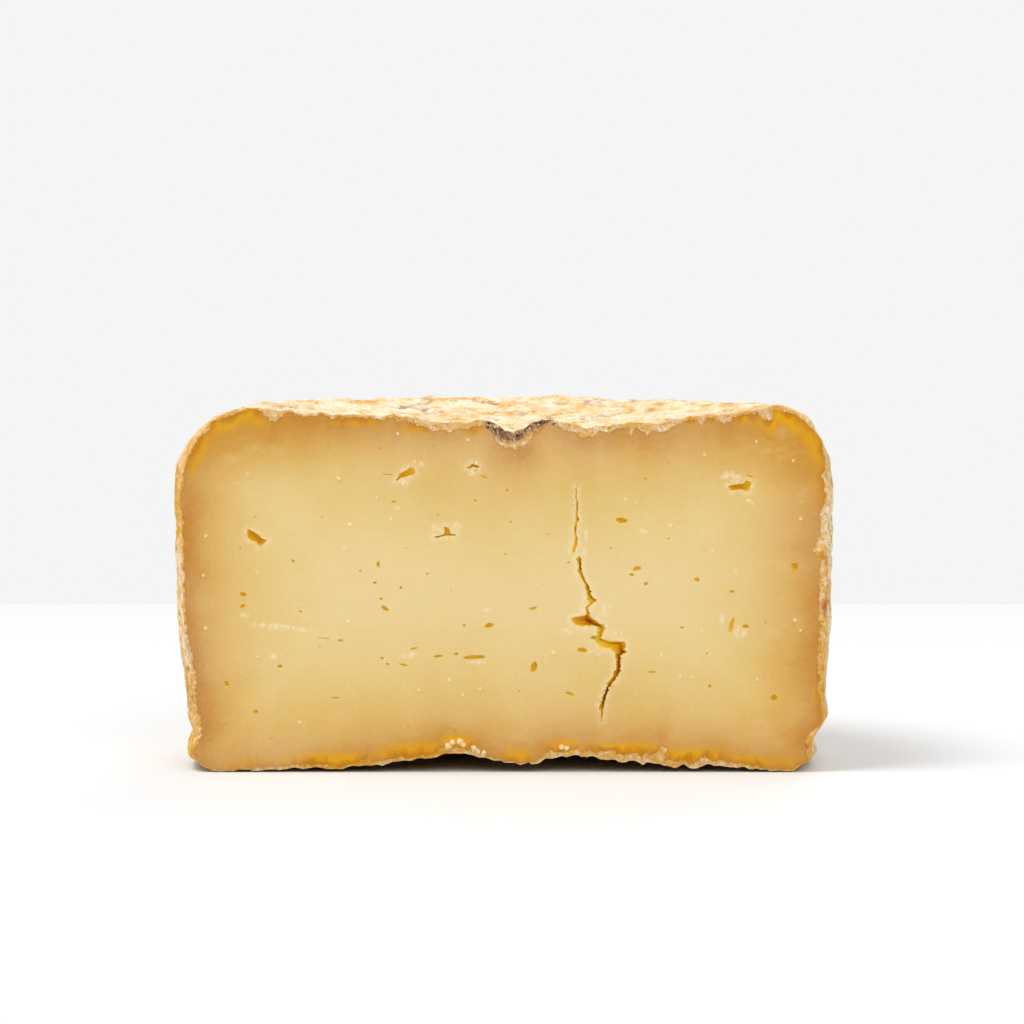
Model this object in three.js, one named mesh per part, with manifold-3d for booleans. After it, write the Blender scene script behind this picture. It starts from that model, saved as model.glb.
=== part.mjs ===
// A wheel of aged cheese with sunken faces, cut straight across in front of its middle. One solid, in
// millimetres, +Z up. The cut faces -Y, and the origin is on the table under the middle of the piece.
import * as THREE from 'three';
import { mergeVertices } from 'three/addons/utils/BufferGeometryUtils.js';
import Module from 'manifold-3d';

const wasm = await Module();
wasm.setup();

// Driving dimensions.
const wheelRadius = 92.5; // at the widest part of the side
const wheelHeight = 100.5; // from the table to the top of the rim
const cutDistance = 25; // from the wheel's axis forward to the cut
const topDish = 5.8; // how far the middle of the top has sunk below its rim
const baseDish = 4.6; // how far the middle of the base stands clear of the table
const rimInset = 14.5; // from the widest part of the side in to the top of the rim
const ringInset = 8.5; // from the widest part of the side in to the ring that it rests on
const ringWidth = 8; // of the flat ring that it rests on
const crackLength = 64; // from the top of the crack to its foot
const crackDepth = 9; // from the cut into the paste
const pocketSize = { width: 8.6, height: 2.6, depth: 6 }; // the torn pocket half way down the crack
const ledgeSize = { width: 8.4, height: 2.2, depth: 5 }; // the torn ledge just below it

// The side from the foot to the rim: how far each point lies inside the widest part, and its height.
const footSide = [
  { inset: 3.9, up: 4.6 }, // the foot bulges
  { inset: 5, up: 9.6 }, // a crease above it
  { inset: 2.8, up: 15.5 },
];
const middleSide = [
  { inset: 1.5, share: 0.2 }, // share of the way from the crease to the shoulder
  { inset: 0.5, share: 0.5 },
  { inset: 0, share: 0.8 },
];
const shoulderSide = [
  { inset: 0.4, down: 16 }, // down from the top of the rim
  { inset: 2.6, down: 9.5 },
  { inset: 4.9, down: 6 },
  { inset: 8.6, down: 2.2 },
];

// Pressing by hand and ageing leave the wheel a little out of round.
const sideWaves = [
  { lobes: 1, depth: 0.3, turn: 0.2, twist: 1.4 },
  { lobes: 2, depth: 0.6, turn: 0.5, twist: 0.9 },
  { lobes: 3, depth: 0.5, turn: 2.1, twist: -1.2 },
  { lobes: 5, depth: 0.35, turn: 1.0, twist: 2.3 },
];
const topWaves = [
  { lobes: 1, depth: 0.4, turn: 0 },
  { lobes: 2, depth: 0.5, turn: 1.2 },
  { lobes: 4, depth: 0.4, turn: 0.4 },
];

const topWaveStart = 0.8; // share of the height at which the top's waves set in
const topWaveFull = 0.9; // and at which they are whole

// The sunken faces' curves: where along the radius their handles lie, and how high the base's outer one is.
const innerHandle = 0.5;
const outerHandle = 0.8;
const outerHandleRise = 0.3; // share of the base's dish

// The crack from top to foot: sideways from its middle, share of its length, and half its width.
const crackMiddle = { across: 0.295, up: 0.465 };
const crackCourse = [
  { side: -5.9, share: 0, half: 0.12 },
  { side: -5.6, share: 0.11, half: 0.3 },
  { side: -6.2, share: 0.21, half: 0.6 },
  { side: -4.9, share: 0.3, half: 0.45 },
  { side: -3.9, share: 0.385, half: 0.6 },
  { side: -2.1, share: 0.47, half: 0.85 },
  { side: -2.3, share: 0.55, half: 0.9 },
  { side: 0.9, share: 0.63, half: 0.9 },
  { side: 6.3, share: 0.685, half: 1.25 },
  { side: 6.1, share: 0.77, half: 0.5 },
  { side: 3.1, share: 0.86, half: 0.6 },
  { side: 1.5, share: 0.95, half: 0.35 },
  { side: 1.0, share: 1, half: 0.12 },
];
const pocketMiddle = { side: -2.3, share: 0.572, turn: -0.12 };
const ledgeMiddle = { side: 2.9, share: 0.657, turn: 0.12 };

// The larger eyes in the cut: where they lie across and up it, their size, and how they lean.
const eyes = [
  { across: -0.776, up: 0.647, width: 6.2, height: 3.8, turn: 0.62 },
  { across: -0.312, up: 0.828, width: 5.6, height: 2.2, turn: -0.35 },
  { across: -0.178, up: 0.667, width: 6, height: 2.4, turn: 0.1 },
  { across: 0.747, up: 0.79, width: 7, height: 2.6, turn: 0.1 },
  { across: 0.377, up: 0.697, width: 3.6, height: 1.8, turn: 0.15 },
  { across: -0.09, up: 0.322, width: 6.6, height: 1.8, turn: 0.05 },
  { across: 0.1, up: 0.292, width: 2.4, height: 3, turn: 0 },
  { across: 0.72, up: 0.408, width: 1.8, height: 5.2, turn: 0.1 },
  { across: 0.858, up: 0.207, width: 2.1, height: 2.1, turn: 0 },
];
const eyeDepth = 0.45; // share of an eye's width

// Fineness of the curves.
const turnSteps = 72;
const dishSteps = 6;
const sideSteps = 22;
const eyeSteps = 10; // round each eye
const eyeRings = 6; // from its top to its bottom

const crackX = (course) => crackMiddle.across * faceHalfWidth() + course.side;
const crackZ = (course) => crackMiddle.up * wheelHeight + crackLength * (0.5 - course.share);

function faceHalfWidth() {
  return Math.sqrt(wheelRadius ** 2 - cutDistance ** 2);
}

// The half section of the wheel, from the middle of the base round to the middle of the top.
function sectionPoints() {
  const ringOuter = wheelRadius - ringInset;
  const ringInner = ringOuter - ringWidth;
  const rimRadius = wheelRadius - rimInset;
  const base = new THREE.CubicBezierCurve(
    new THREE.Vector2(0, baseDish),
    new THREE.Vector2(ringInner * innerHandle, baseDish),
    new THREE.Vector2(ringInner * outerHandle, baseDish * outerHandleRise),
    new THREE.Vector2(ringInner, 0),
  );
  const top = new THREE.CubicBezierCurve(
    new THREE.Vector2(rimRadius, wheelHeight),
    new THREE.Vector2(rimRadius * outerHandle, wheelHeight),
    new THREE.Vector2(rimRadius * innerHandle, wheelHeight - topDish),
    new THREE.Vector2(0, wheelHeight - topDish),
  );
  const side = new THREE.SplineCurve([
    new THREE.Vector2(ringOuter, 0),
    ...sidePoints(),
    new THREE.Vector2(rimRadius, wheelHeight),
  ]);
  return [...base.getPoints(dishSteps), ...side.getPoints(sideSteps), ...top.getPoints(dishSteps).slice(1)];
}

function sidePoints() {
  const creaseTop = footSide.at(-1).up;
  const shoulderFoot = wheelHeight - shoulderSide[0].down;
  const middleUp = (share) => THREE.MathUtils.lerp(creaseTop, shoulderFoot, share);
  return [
    ...footSide.map(({ inset, up }) => new THREE.Vector2(wheelRadius - inset, up)),
    ...middleSide.map(({ inset, share }) => new THREE.Vector2(wheelRadius - inset, middleUp(share))),
    ...shoulderSide.map(({ inset, down }) => new THREE.Vector2(wheelRadius - inset, wheelHeight - down)),
  ];
}

// Moves each point of the round wheel by the waves. The flat ring keeps its height.
function wave(geometry) {
  const places = geometry.getAttribute('position');
  for (let i = 0; i < places.count; i += 1) {
    const x = places.getX(i);
    const y = places.getY(i);
    const z = places.getZ(i);
    const radius = Math.hypot(x, y);
    const angle = Math.atan2(y, x);
    const outward = (radius / wheelRadius) ** 2;
    const growth = 1 + (outward * sideWave(angle, z)) / Math.max(radius, 1);
    const lift = radius < 1 ? 0 : topWave(angle, radius, z);
    places.setXYZ(i, x * growth, y * growth, z + lift);
  }
}

function sideWave(angle, z) {
  const height = z / wheelHeight;
  const swing = ({ lobes, depth, turn, twist }) => depth * Math.cos(lobes * angle + turn + twist * height);
  return sideWaves.reduce((sum, each) => sum + swing(each), 0);
}

// Only the top rises and falls, most of it half way out.
function topWave(angle, radius, z) {
  const outward = radius / wheelRadius;
  const onTop = THREE.MathUtils.smoothstep(z / wheelHeight, topWaveStart, topWaveFull);
  const swing = ({ lobes, depth, turn }) => depth * Math.cos(lobes * angle + turn);
  return 4 * outward * (1 - outward) * onTop * topWaves.reduce((sum, each) => sum + swing(each), 0);
}

// The crack's outline goes down its one side and back up the other.
function crackOutline() {
  const right = crackCourse.map((course) => new THREE.Vector2(crackX(course) + course.half, crackZ(course)));
  const left = crackCourse.map((course) => new THREE.Vector2(crackX(course) - course.half, crackZ(course)));
  return new THREE.Shape([...right, ...left.reverse()]);
}

function crackGeometry() {
  const overhang = 1; // in front of the cut, so that the crack opens cleanly
  const depth = crackDepth + overhang;
  const crack = new THREE.ExtrudeGeometry(crackOutline(), { depth, bevelEnabled: false });
  crack.rotateX(Math.PI / 2);
  return crack.translate(0, crackDepth - cutDistance, 0);
}

function eggGeometry({ width, height, depth, turn, x, z }) {
  const egg = new THREE.SphereGeometry(1, eyeSteps, eyeRings);
  egg.scale(width / 2, depth, height / 2).rotateY(turn);
  return egg.translate(x, -cutDistance, z);
}

function eyeGeometry({ across, up, width, height, turn }) {
  const x = across * faceHalfWidth();
  return eggGeometry({ width, height, depth: eyeDepth * width, turn, x, z: up * wheelHeight });
}

function tearGeometry(size, middle) {
  return eggGeometry({ ...size, turn: middle.turn, x: crackX(middle), z: crackZ(middle) });
}

// What the knife took away: everything in front of the cut.
function offcutGeometry() {
  const reach = 2 * wheelRadius;
  const offcut = new THREE.BoxGeometry(2 * reach, reach, 2 * reach);
  return offcut.translate(0, -cutDistance - reach / 2, wheelHeight / 2);
}

// A closed solid from a geometry, with its shared corners merged and its flat triangles dropped.
function solid(geometry) {
  geometry.deleteAttribute('normal');
  geometry.deleteAttribute('uv');
  const merged = mergeVertices(geometry);
  const corners = merged.index.array;
  const kept = [];
  for (let i = 0; i < corners.length; i += 3) {
    const [a, b, c] = corners.slice(i, i + 3);
    if (a !== b && b !== c && c !== a) kept.push(a, b, c);
  }
  const vertProperties = merged.getAttribute('position').array;
  return new wasm.Manifold(new wasm.Mesh({ numProp: 3, vertProperties, triVerts: new Uint32Array(kept) }));
}

function wheelSolid() {
  const wheel = new THREE.LatheGeometry(sectionPoints(), turnSteps);
  wheel.rotateX(Math.PI / 2);
  wave(wheel);
  return solid(wheel);
}

function cheeseGeometry() {
  const tears = [tearGeometry(pocketSize, pocketMiddle), tearGeometry(ledgeSize, ledgeMiddle)];
  const hollows = [offcutGeometry(), crackGeometry(), ...tears, ...eyes.map(eyeGeometry)];
  const cheese = hollows.reduce((rest, hollow) => rest.subtract(solid(hollow)), wheelSolid());
  const mesh = cheese.getMesh();
  const geometry = new THREE.BufferGeometry();
  geometry.setAttribute('position', new THREE.BufferAttribute(mesh.vertProperties, 3));
  geometry.setIndex(new THREE.BufferAttribute(mesh.triVerts, 1));
  geometry.computeBoundingBox();
  const middle = geometry.boundingBox.getCenter(new THREE.Vector3());
  return geometry.translate(-middle.x, -middle.y, -geometry.boundingBox.min.z);
}

const paste = new THREE.MeshStandardMaterial({ color: 0xe3c076, roughness: 0.55, metalness: 0 });
const cheese = new THREE.Mesh(cheeseGeometry(), paste);
cheese.name = 'cheese_wheel';

const part = new THREE.Group();
part.add(cheese);

export default part;
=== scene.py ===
"""A piece of an aged cheese wheel: one closed mesh with its rind, cut face, eyes and crack, and a plain studio.

The shape is worked out in millimetres round the wheel's axis and set into the frame, in metres, at the end.
X runs along the cut, Y goes back from it and Z is up.
"""
import math

import bpy
import numpy as np
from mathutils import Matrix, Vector
from mathutils.geometry import delaunay_2d_cdt
from mathutils.kdtree import KDTree


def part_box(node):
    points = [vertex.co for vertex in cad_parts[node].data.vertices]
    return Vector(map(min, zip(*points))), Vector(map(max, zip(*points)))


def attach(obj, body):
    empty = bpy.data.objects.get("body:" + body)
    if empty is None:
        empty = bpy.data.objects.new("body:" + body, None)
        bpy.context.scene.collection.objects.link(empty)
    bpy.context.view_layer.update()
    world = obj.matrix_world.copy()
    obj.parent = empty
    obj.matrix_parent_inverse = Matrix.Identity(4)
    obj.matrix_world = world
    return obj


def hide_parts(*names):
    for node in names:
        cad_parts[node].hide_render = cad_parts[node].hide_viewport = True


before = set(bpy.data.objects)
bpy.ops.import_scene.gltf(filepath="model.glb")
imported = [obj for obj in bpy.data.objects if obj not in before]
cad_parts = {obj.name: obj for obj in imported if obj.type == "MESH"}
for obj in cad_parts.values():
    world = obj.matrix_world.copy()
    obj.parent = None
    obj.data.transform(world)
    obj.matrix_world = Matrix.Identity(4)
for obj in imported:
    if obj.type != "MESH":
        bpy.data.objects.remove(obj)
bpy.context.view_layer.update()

MM = 0.001

# ---------------------------------------------------------------- sizes, in millimetres

LOW, HIGH = (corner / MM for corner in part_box("cheese_wheel"))
OUT_OF_ROUND = 0.25  # what the waves add to half the width
RIM_WAVE = 0.95  # to the height
BACK_WAVE = 0.2  # and take off the back
WHEEL_RADIUS = (HIGH.x - LOW.x) / 2 - OUT_OF_ROUND
WHEEL_HEIGHT = HIGH.z - LOW.z - RIM_WAVE
AXIS_Y = HIGH.y - WHEEL_RADIUS + BACK_WAVE
CUT = LOW.y - AXIS_Y  # the cut plane, measured from the wheel's axis
TOP_DISH = 5.8
BASE_DISH = 4.6
RIM_RADIUS = WHEEL_RADIUS - 14.5
RING_OUTER = WHEEL_RADIUS - 8.5
RING_INNER = RING_OUTER - 8

# How far each point of the side lies inside the widest part, with its height or its depth below the rim.
FOOT_SIDE = [(4.1, 3.2), (3.5, 6.2), (4.6, 10.4), (3.0, 15.5)]
MIDDLE_SIDE = [(1.5, 0.2), (0.5, 0.5), (0.0, 0.8)]  # share of the way from the foot to the shoulder
SHOULDER_SIDE = [(0.4, 16.0), (2.6, 9.5), (4.9, 6.0), (8.6, 2.2)]

# Waves: lobes round the wheel, depth, turn, and twist over the height.
SIDE_WAVES = [(1, 0.3, 0.2, 1.4), (2, 0.6, 0.5, 0.9), (3, 0.5, 2.1, -1.2), (5, 0.35, 1.0, 2.3)]
TOP_WAVES = [(1, 0.4, 0.0, 0.0), (2, 0.5, 1.2, 0.0), (4, 0.4, 0.4, 0.0)]

# The foot is not the same all round: on the right it bulges higher up and turns in lower down. Height, spread
# and how far outwards.
RIGHT_FOOT = [(14.0, 5.0, 2.0), (6.6, 2.4, -1.7), (1.5, 2.0, -0.9)]
LEFT_FOOT = [(24.0, 10.0, -0.9)]

# The shoulders differ too, and near the cut both are fuller: outwards all round, and what is added at the cut.
SHOULDERS = {"left": (-2.2, 1.3), "right": (0.0, 1.6)}
SHOULDER_FROM = (70.0, 84.0)  # X and Z that they swell away from
SHOULDER_REACH = 15.0

# Height of the crust's upper and lower edges along the cut.
TOP_EDGE = [
    (-74, 101.0), (-67, 101.2), (-58, 100.6), (-48, 99.3), (-29, 99.0), (-22, 98.2), (-15, 97.6),
    (-5, 97.4), (-2, 96.6), (0.5, 94.9), (3, 94.6), (5.5, 96.0), (8.5, 97.9), (13, 98.2), (18, 96.9),
    (23, 95.0), (27, 96.3), (33, 97.4), (44, 97.0), (52, 98.8), (57, 99.6), (65, 99.6), (74, 100.8),
]
BASE_EDGE = [
    (-74, 0.2), (-66, 0.8), (-55, 1.3), (-44, 1.3), (-38, 1.9), (-29, 3.0), (-22, 3.9), (-17, 5.2),
    (-13, 5.7), (-8, 4.4), (-3, 3.0), (5, 2.6), (9, 2.3), (12, 3.8), (16, 4.4), (24, 3.9), (31, 3.5),
    (38, 2.7), (43, 2.1), (50, 2.0), (60, 1.8), (67, 1.4), (74, 0.2),
]
EDGE_REACH = 11.0  # how far back from the cut those edges are felt
FRAY_REACH = 2.2  # and how far back the small lumps along them are
FRAY_SIZE = 2.9

# Thickness of the crust where it is cut: along the top by X, along the base by X, and up the sides by Z.
TOP_CRUST = [
    (-74, 1.3), (-72, 0.5), (-66.5, 0.5), (-65, 3.0), (-62.5, 3.2), (-61, 1.0), (-57, 0.6), (-48, 0.8),
    (-35, 0.8), (-26, 1.3), (-19, 2.4), (-14, 2.6), (-9, 1.6), (-4, 2.0), (-1.5, 2.8), (0.5, 3.4), (3, 3.7),
    (5.5, 3.2), (7.2, 1.1), (8.6, 1.2), (9.6, 3.2), (11, 3.0), (12, 1.0), (15, 1.2), (18, 2.6), (21, 2.6),
    (24, 2.9), (27, 1.6), (31, 1.3), (34.5, 1.6), (35.6, 3.6), (37, 1.8), (40, 3.0), (42, 1.6), (44.6, 2.4),
    (48, 1.6), (50.5, 0.7), (53.4, 1.0), (54.6, 2.8), (55.8, 1.0), (58.5, 0.8), (60, 2.5), (61.5, 2.4),
    (62.6, 1.1), (66, 0.6), (70.5, 0.7), (71.6, 3.2), (73.2, 3.4), (74, 1.4),
]
BASE_CRUST = [
    (-80, 0.35), (-70, 0.35), (-68.5, 1.1), (-67, 0.5), (-63, 0.6), (-61, 1.3), (-59, 0.6), (-56, 1.3),
    (-53, 0.7), (-50, 1.3), (-47, 0.6), (-42, 0.6), (-39, 1.6), (-37.5, 2.1), (-36, 0.8), (-33, 1.2),
    (-28, 0.9), (-20, 0.8), (-16, 1.6), (-12, 1.4), (-8, 1.6), (-5, 0.8), (0, 0.35), (6, 0.4), (9, 0.9),
    (13, 1.9), (15, 2.4), (17, 1.6), (22, 1.6), (30, 2.1), (35, 1.7), (38, 2.5), (41, 2.3), (42.4, 4.2),
    (43.6, 4.0), (44.6, 2.0), (48, 1.6), (52, 1.3), (56, 2.1), (58, 1.2), (61, 2.0), (64, 1.2), (69, 1.0),
    (72, 0.5), (80, 0.4),
]
LEFT_CRUST = [
    (0, 0.3), (8, 0.35), (10.5, 1.0), (14, 2.0), (17, 1.4), (20, 1.0), (24, 1.9), (28, 1.3), (34, 0.8),
    (50, 0.8), (66, 0.7), (80, 0.8), (84, 0.5), (88, 0.5), (92, 0.7), (95, 1.0), (98, 0.8), (102, 0.8),
]
RIGHT_CRUST = [
    (0, 0.35), (6, 0.5), (8.6, 1.6), (10.5, 1.3), (12, 0.5), (21, 0.4), (24, 1.5), (27, 1.2), (30, 2.2),
    (34, 1.4), (46, 1.7), (55, 2.0), (59, 1.9), (60.5, 3.9), (63.5, 4.2), (65, 1.8), (70, 2.2), (76, 1.3),
    (84, 1.1), (86, 0.4), (98, 0.4), (102, 1.0),
]

# The crack from its tip to its foot: X and Z of its left edge and of its right one, and how deep it is there.
UPPER_CRACK = [
    (20.2, 79.2, 20.5, 79.0, 0.2), (20.1, 77.8, 20.5, 77.8, 0.4), (19.9, 76.7, 20.4, 76.6, 0.5),
    (20.2, 75.9, 20.4, 75.9, 0.3), (20.2, 75.2, 20.8, 75.2, 0.6), (20.2, 73.5, 20.9, 73.5, 0.8),
    (20.2, 72.0, 20.5, 72.0, 0.4), (20.3, 70.6, 21.3, 70.4, 1.0), (20.0, 69.4, 20.4, 69.4, 0.4),
    (19.5, 67.7, 20.4, 67.7, 0.9), (19.9, 66.3, 20.3, 66.3, 0.4), (19.9, 65.1, 20.8, 65.1, 0.7),
    (19.5, 63.3, 20.7, 63.3, 0.6), (19.1, 61.6, 20.2, 61.6, 0.5), (19.3, 60.9, 19.7, 60.9, 0.2),
]
MAIN_CRACK = [
    (20.8, 60.3, 21.2, 60.3, 0.4), (20.2, 59.3, 21.8, 59.3, 1.0), (20.9, 58.3, 21.8, 58.3, 1.4),
    (21.0, 57.3, 21.6, 57.3, 2.0), (20.7, 56.2, 22.0, 56.2, 1.0), (21.3, 55.0, 22.3, 55.0, 0.9),
    (22.0, 53.7, 22.7, 53.7, 1.0), (22.6, 52.2, 23.6, 52.2, 1.2), (23.0, 50.7, 24.5, 50.7, 1.4),
    (23.3, 49.5, 24.5, 49.5, 1.4), (23.5, 48.2, 25.4, 48.4, 1.2), (23.8, 47.3, 26.3, 47.9, 0.8),
    (23.7, 46.8, 24.6, 46.8, 0.5), (22.7, 46.0, 23.7, 46.0, 0.5), (22.8, 44.9, 23.8, 44.9, 0.7),
    (22.9, 43.9, 24.1, 44.1, 0.9), (21.3, 43.6, 24.3, 43.4, 1.6), (19.9, 43.3, 25.1, 42.9, 2.2),
    (18.7, 42.7, 25.9, 42.3, 2.6), (19.5, 41.9, 26.5, 41.9, 2.6), (20.4, 40.9, 27.1, 41.5, 2.0),
    (22.4, 40.7, 27.9, 40.9, 1.5), (24.4, 41.0, 28.6, 40.1, 1.2), (25.8, 40.6, 28.2, 39.6, 1.0),
    (26.1, 39.2, 27.7, 38.9, 0.9), (26.0, 38.1, 27.4, 37.7, 0.9), (25.7, 36.4, 28.0, 37.0, 0.9),
    (27.3, 34.9, 30.3, 36.5, 1.0), (29.7, 34.3, 33.6, 36.5, 1.8), (30.9, 33.2, 34.2, 33.4, 2.4),
    (31.3, 32.3, 32.8, 32.4, 2.4), (31.4, 30.9, 32.5, 30.9, 2.2), (31.6, 29.6, 32.8, 29.7, 2.4),
    (31.0, 28.2, 32.7, 28.1, 2.2), (30.2, 26.8, 31.9, 26.8, 1.7), (29.0, 25.2, 30.8, 25.6, 1.4),
    (28.7, 24.1, 30.2, 24.3, 1.8), (28.2, 22.8, 29.6, 23.6, 2.4), (27.6, 21.2, 29.1, 22.0, 2.6),
    (27.2, 19.7, 28.6, 20.3, 2.2), (26.9, 17.5, 28.1, 18.7, 1.6), (27.1, 15.8, 27.7, 16.0, 0.8),
    (27.2, 14.1, 27.4, 14.1, 0.3),
]
CRACK_FINENESS = 4  # steps between two stations
CRACK_RAGGED = 0.38
DEEP_LINE = 0.68  # where the crack's deepest line lies, from its left edge to its right one
HOLLOW_SHADE_DEPTH = 4.6  # millimetres into the paste where the painted shade in a hollow is at its darkest
CRACK_SHADE_DEPTH = 2.9  # the same in the crack

# Torn eyes: the middle's X and Z, the depth, and the outline as X and Z from the middle.
TORN_EYES = [
    ((-68.3, 65.2), 1.5, [(-2.6, 2.6), (-1.8, 2.6), (-0.8, 1.9), (0.8, 0.9), (1.5, 0.1), (3.0, -0.6),
        (2.3, -1.6), (1.2, -2.5), (0.7, -2.1), (0.3, -1.3), (-0.5, -1.1), (-1.6, -0.6), (-2.4, 0.2),
        (-2.8, 1.2)]),
    ((-27.4, 83.1), 1.1, [(-1.4, 0.0), (0.1, 0.7), (1.3, 1.4), (1.6, 2.0), (2.9, 1.6), (3.4, 0.2),
        (2.4, -0.4), (1.1, -0.7), (-0.1, -1.2), (-1.3, -1.2), (-1.5, -2.0), (-2.5, -1.9), (-1.5, -0.9)]),
    ((-15.8, 67.0), 1.0, [(-3.5, -1.3), (-2.0, -1.2), (-0.6, -0.6), (-0.2, 0.1), (-0.7, 1.2),
        (-0.5, 1.6), (0.8, 1.2), (1.2, 0.2), (1.5, -0.7), (3.0, -0.6), (2.6, -1.1), (0.9, -1.2),
        (-0.3, -1.1), (-1.8, -1.5), (-2.4, -1.9), (-3.3, -1.6)]),
    ((65.4, 79.5), 1.3, [(-3.3, 0.1), (-1.9, 0.6), (-0.5, 0.8), (1.1, 0.8), (2.0, 1.8), (2.9, 1.7),
        (3.6, 0.8), (3.2, -0.1), (2.7, -1.2), (1.8, -1.3), (0.9, -0.8), (-0.5, -0.9), (-2.2, -1.1),
        (-3.0, -0.4)]),
    ((-8.1, 85.1), 0.9, [(-2.1, -0.2), (-0.9, 0.1), (-0.7, 0.9), (0.2, 0.5), (1.8, 0.1), (1.2, -0.5),
        (0.0, 0.0), (-1.2, -0.6)]),
]

# Plainer eyes and slits: X, Z, width, height and lean in degrees.
EYES = [
    (33.0, 70.1, 3.6, 1.7, -8), (37.1, 56.8, 2.4, 1.3, 10), (35.7, 55.1, 1.4, 1.0, 0),
    (53.7, 53.7, 1.7, 1.3, 0), (39.6, 52.6, 1.5, 0.9, 20), (63.4, 50.4, 1.7, 0.9, 0),
    (39.3, 81.7, 1.0, 0.6, 0), (80.9, 57.3, 2.0, 2.6, 35), (-34.6, 57.9, 1.1, 2.0, 0),
    (-58.2, 59.0, 1.0, 1.0, 0), (-35.5, 52.9, 1.2, 0.9, 0), (-28.3, 51.5, 0.9, 0.9, 0),
    (-72.0, 49.6, 1.9, 1.5, 0), (-72.3, 46.3, 1.7, 1.1, 30), (-33.8, 48.4, 0.9, 0.8, 0),
    (-32.7, 45.7, 2.4, 1.3, -30), (-56.2, 44.9, 1.0, 0.7, 0), (8.3, 45.7, 2.4, 0.9, 12),
    (-3.9, 41.0, 2.6, 1.6, 10), (-10.8, 41.0, 1.2, 0.8, 0), (49.6, 40.4, 1.4, 0.8, 0),
    (63.4, 41.0, 1.2, 4.8, -12), (67.3, 40.7, 2.2, 1.2, 10), (-45.2, 36.8, 1.6, 0.9, 0),
    (-24.7, 34.6, 2.4, 0.7, 8), (-33.5, 31.9, 1.0, 0.8, 0), (-32.1, 30.2, 0.9, 0.8, 0),
    (-27.7, 30.0, 2.8, 0.8, -18), (-18.0, 32.4, 2.8, 1.0, 5), (-13.0, 33.0, 1.6, 0.8, 0),
    (-8.0, 32.1, 6.4, 1.3, 3), (8.6, 29.4, 2.1, 3.0, -15), (41.3, 28.0, 2.5, 0.8, 0),
    (57.3, 24.1, 1.1, 1.0, 0), (75.1, 20.8, 2.0, 2.0, 0), (18.6, 21.9, 2.7, 1.0, -18),
    (-62.0, 29.6, 1.6, 1.1, 0), (-76.7, 24.7, 1.3, 1.9, 25), (-68.7, 16.9, 1.7, 1.3, 0),
    (-46.5, 20.8, 2.2, 0.8, 0), (-15.2, 12.2, 2.4, 0.7, -10), (-13.2, 11.4, 1.0, 0.8, 0),
    (-64.3, 9.4, 0.9, 0.6, 0), (21.9, 34.1, 3.0, 1.5, -8), (25.2, 37.6, 2.2, 1.2, 0),
    (-5.2, 82.2, 2.2, 0.6, -28), (-30.2, 75.4, 1.6, 0.7, 10), (68.4, 82.4, 2.3, 0.6, -12),
    (1.1, 78.6, 0.9, 0.7, 0), (-7.7, 75.7, 0.9, 0.7, 0), (18.1, 58.5, 0.9, 0.6, 40),
    (-39.5, 56.2, 0.8, 0.6, 0), (12.5, 66.4, 0.8, 0.5, 0), (30.0, 62.5, 0.8, 0.5, 0),
    (56.5, 33.2, 0.8, 0.6, 0), (-50.1, 71.2, 0.8, 0.6, 0), (-50.0, 37.5, 4.2, 0.3, -6),
    (-31.9, 82.9, 3.1, 0.35, -4), (45.8, 65.2, 0.8, 0.6, 0), (-21.0, 55.3, 0.9, 0.6, 20),
    (0.5, 60.9, 0.8, 0.5, 0), (4.4, 22.7, 0.8, 0.6, 0),
]

# Pale torn paste beside the eyes: X, Z, half width, half height and lean.
PALE_PATCHES = [
    (-61.0, 40.4, 8.5, 0.9, -6), (22.6, 45.6, 1.5, 2.6, 0), (22.5, 61.5, 0.8, 1.2, 0),
    (25.0, 33.4, 2.2, 0.6, -10), (63.6, 82.2, 3.6, 1.6, -6), (-18.4, 67.9, 1.8, 1.0, -20),
    (-12.9, 68.4, 1.4, 1.1, 10), (-8.2, 83.4, 1.9, 0.8, 0), (-29.5, 73.6, 1.1, 0.5, 5),
    (65.8, 39.2, 1.9, 1.6, 0), (69.0, 75.0, 1.2, 0.5, -30), (-27.0, 80.6, 1.6, 0.9, 0),
    (17.9, 39.3, 2.0, 0.8, -20), (28.2, 45.4, 1.4, 2.2, -20), (-63.7, 32.4, 1.5, 0.7, 0),
    (31.9, 38.9, 1.8, 0.9, -20), (-26.0, 32.6, 2.4, 0.8, 10), (-7.0, 30.6, 2.6, 0.7, 0),
    (39.0, 67.2, 1.3, 0.7, -30), (-71.5, 43.9, 1.3, 0.7, 0), (-23.2, 86.0, 1.8, 0.7, -20),
    (60.9, 42.6, 0.8, 1.7, 0), (-4.2, 45.3, 1.3, 0.6, 0), (23.0, 66.0, 0.7, 2.0, 0),
]

# White crystals: X and Z.
CRYSTALS = [
    (-70.6, 83.1), (-45.4, 81.7), (-29.1, 94.2), (-9.7, 92.5), (-34.9, 76.5), (-82.3, 65.9), (-83.1, 54.8),
    (-68.1, 55.7), (-42.4, 69.0), (-31.0, 70.6), (-44.0, 62.3), (-82.5, 40.2), (-42.9, 42.1), (-11.1, 21.6),
    (-6.4, 23.3), (-15.0, 25.8), (-23.3, 23.0), (55.7, 88.4), (70.1, 92.0), (80.3, 86.7), (46.3, 68.7),
    (64.5, 56.0), (67.9, 75.6), (82.5, 70.6), (44.0, 32.7), (55.1, 39.3), (49.3, 26.6), (52.6, 26.6),
    (70.6, 25.8), (80.9, 42.4), (82.5, 39.6), (-7.3, 86.2), (-68.0, 32.2), (14.0, 33.4), (34.0, 76.0),
    (-56.5, 14.0), (58.0, 61.5),
]
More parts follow.
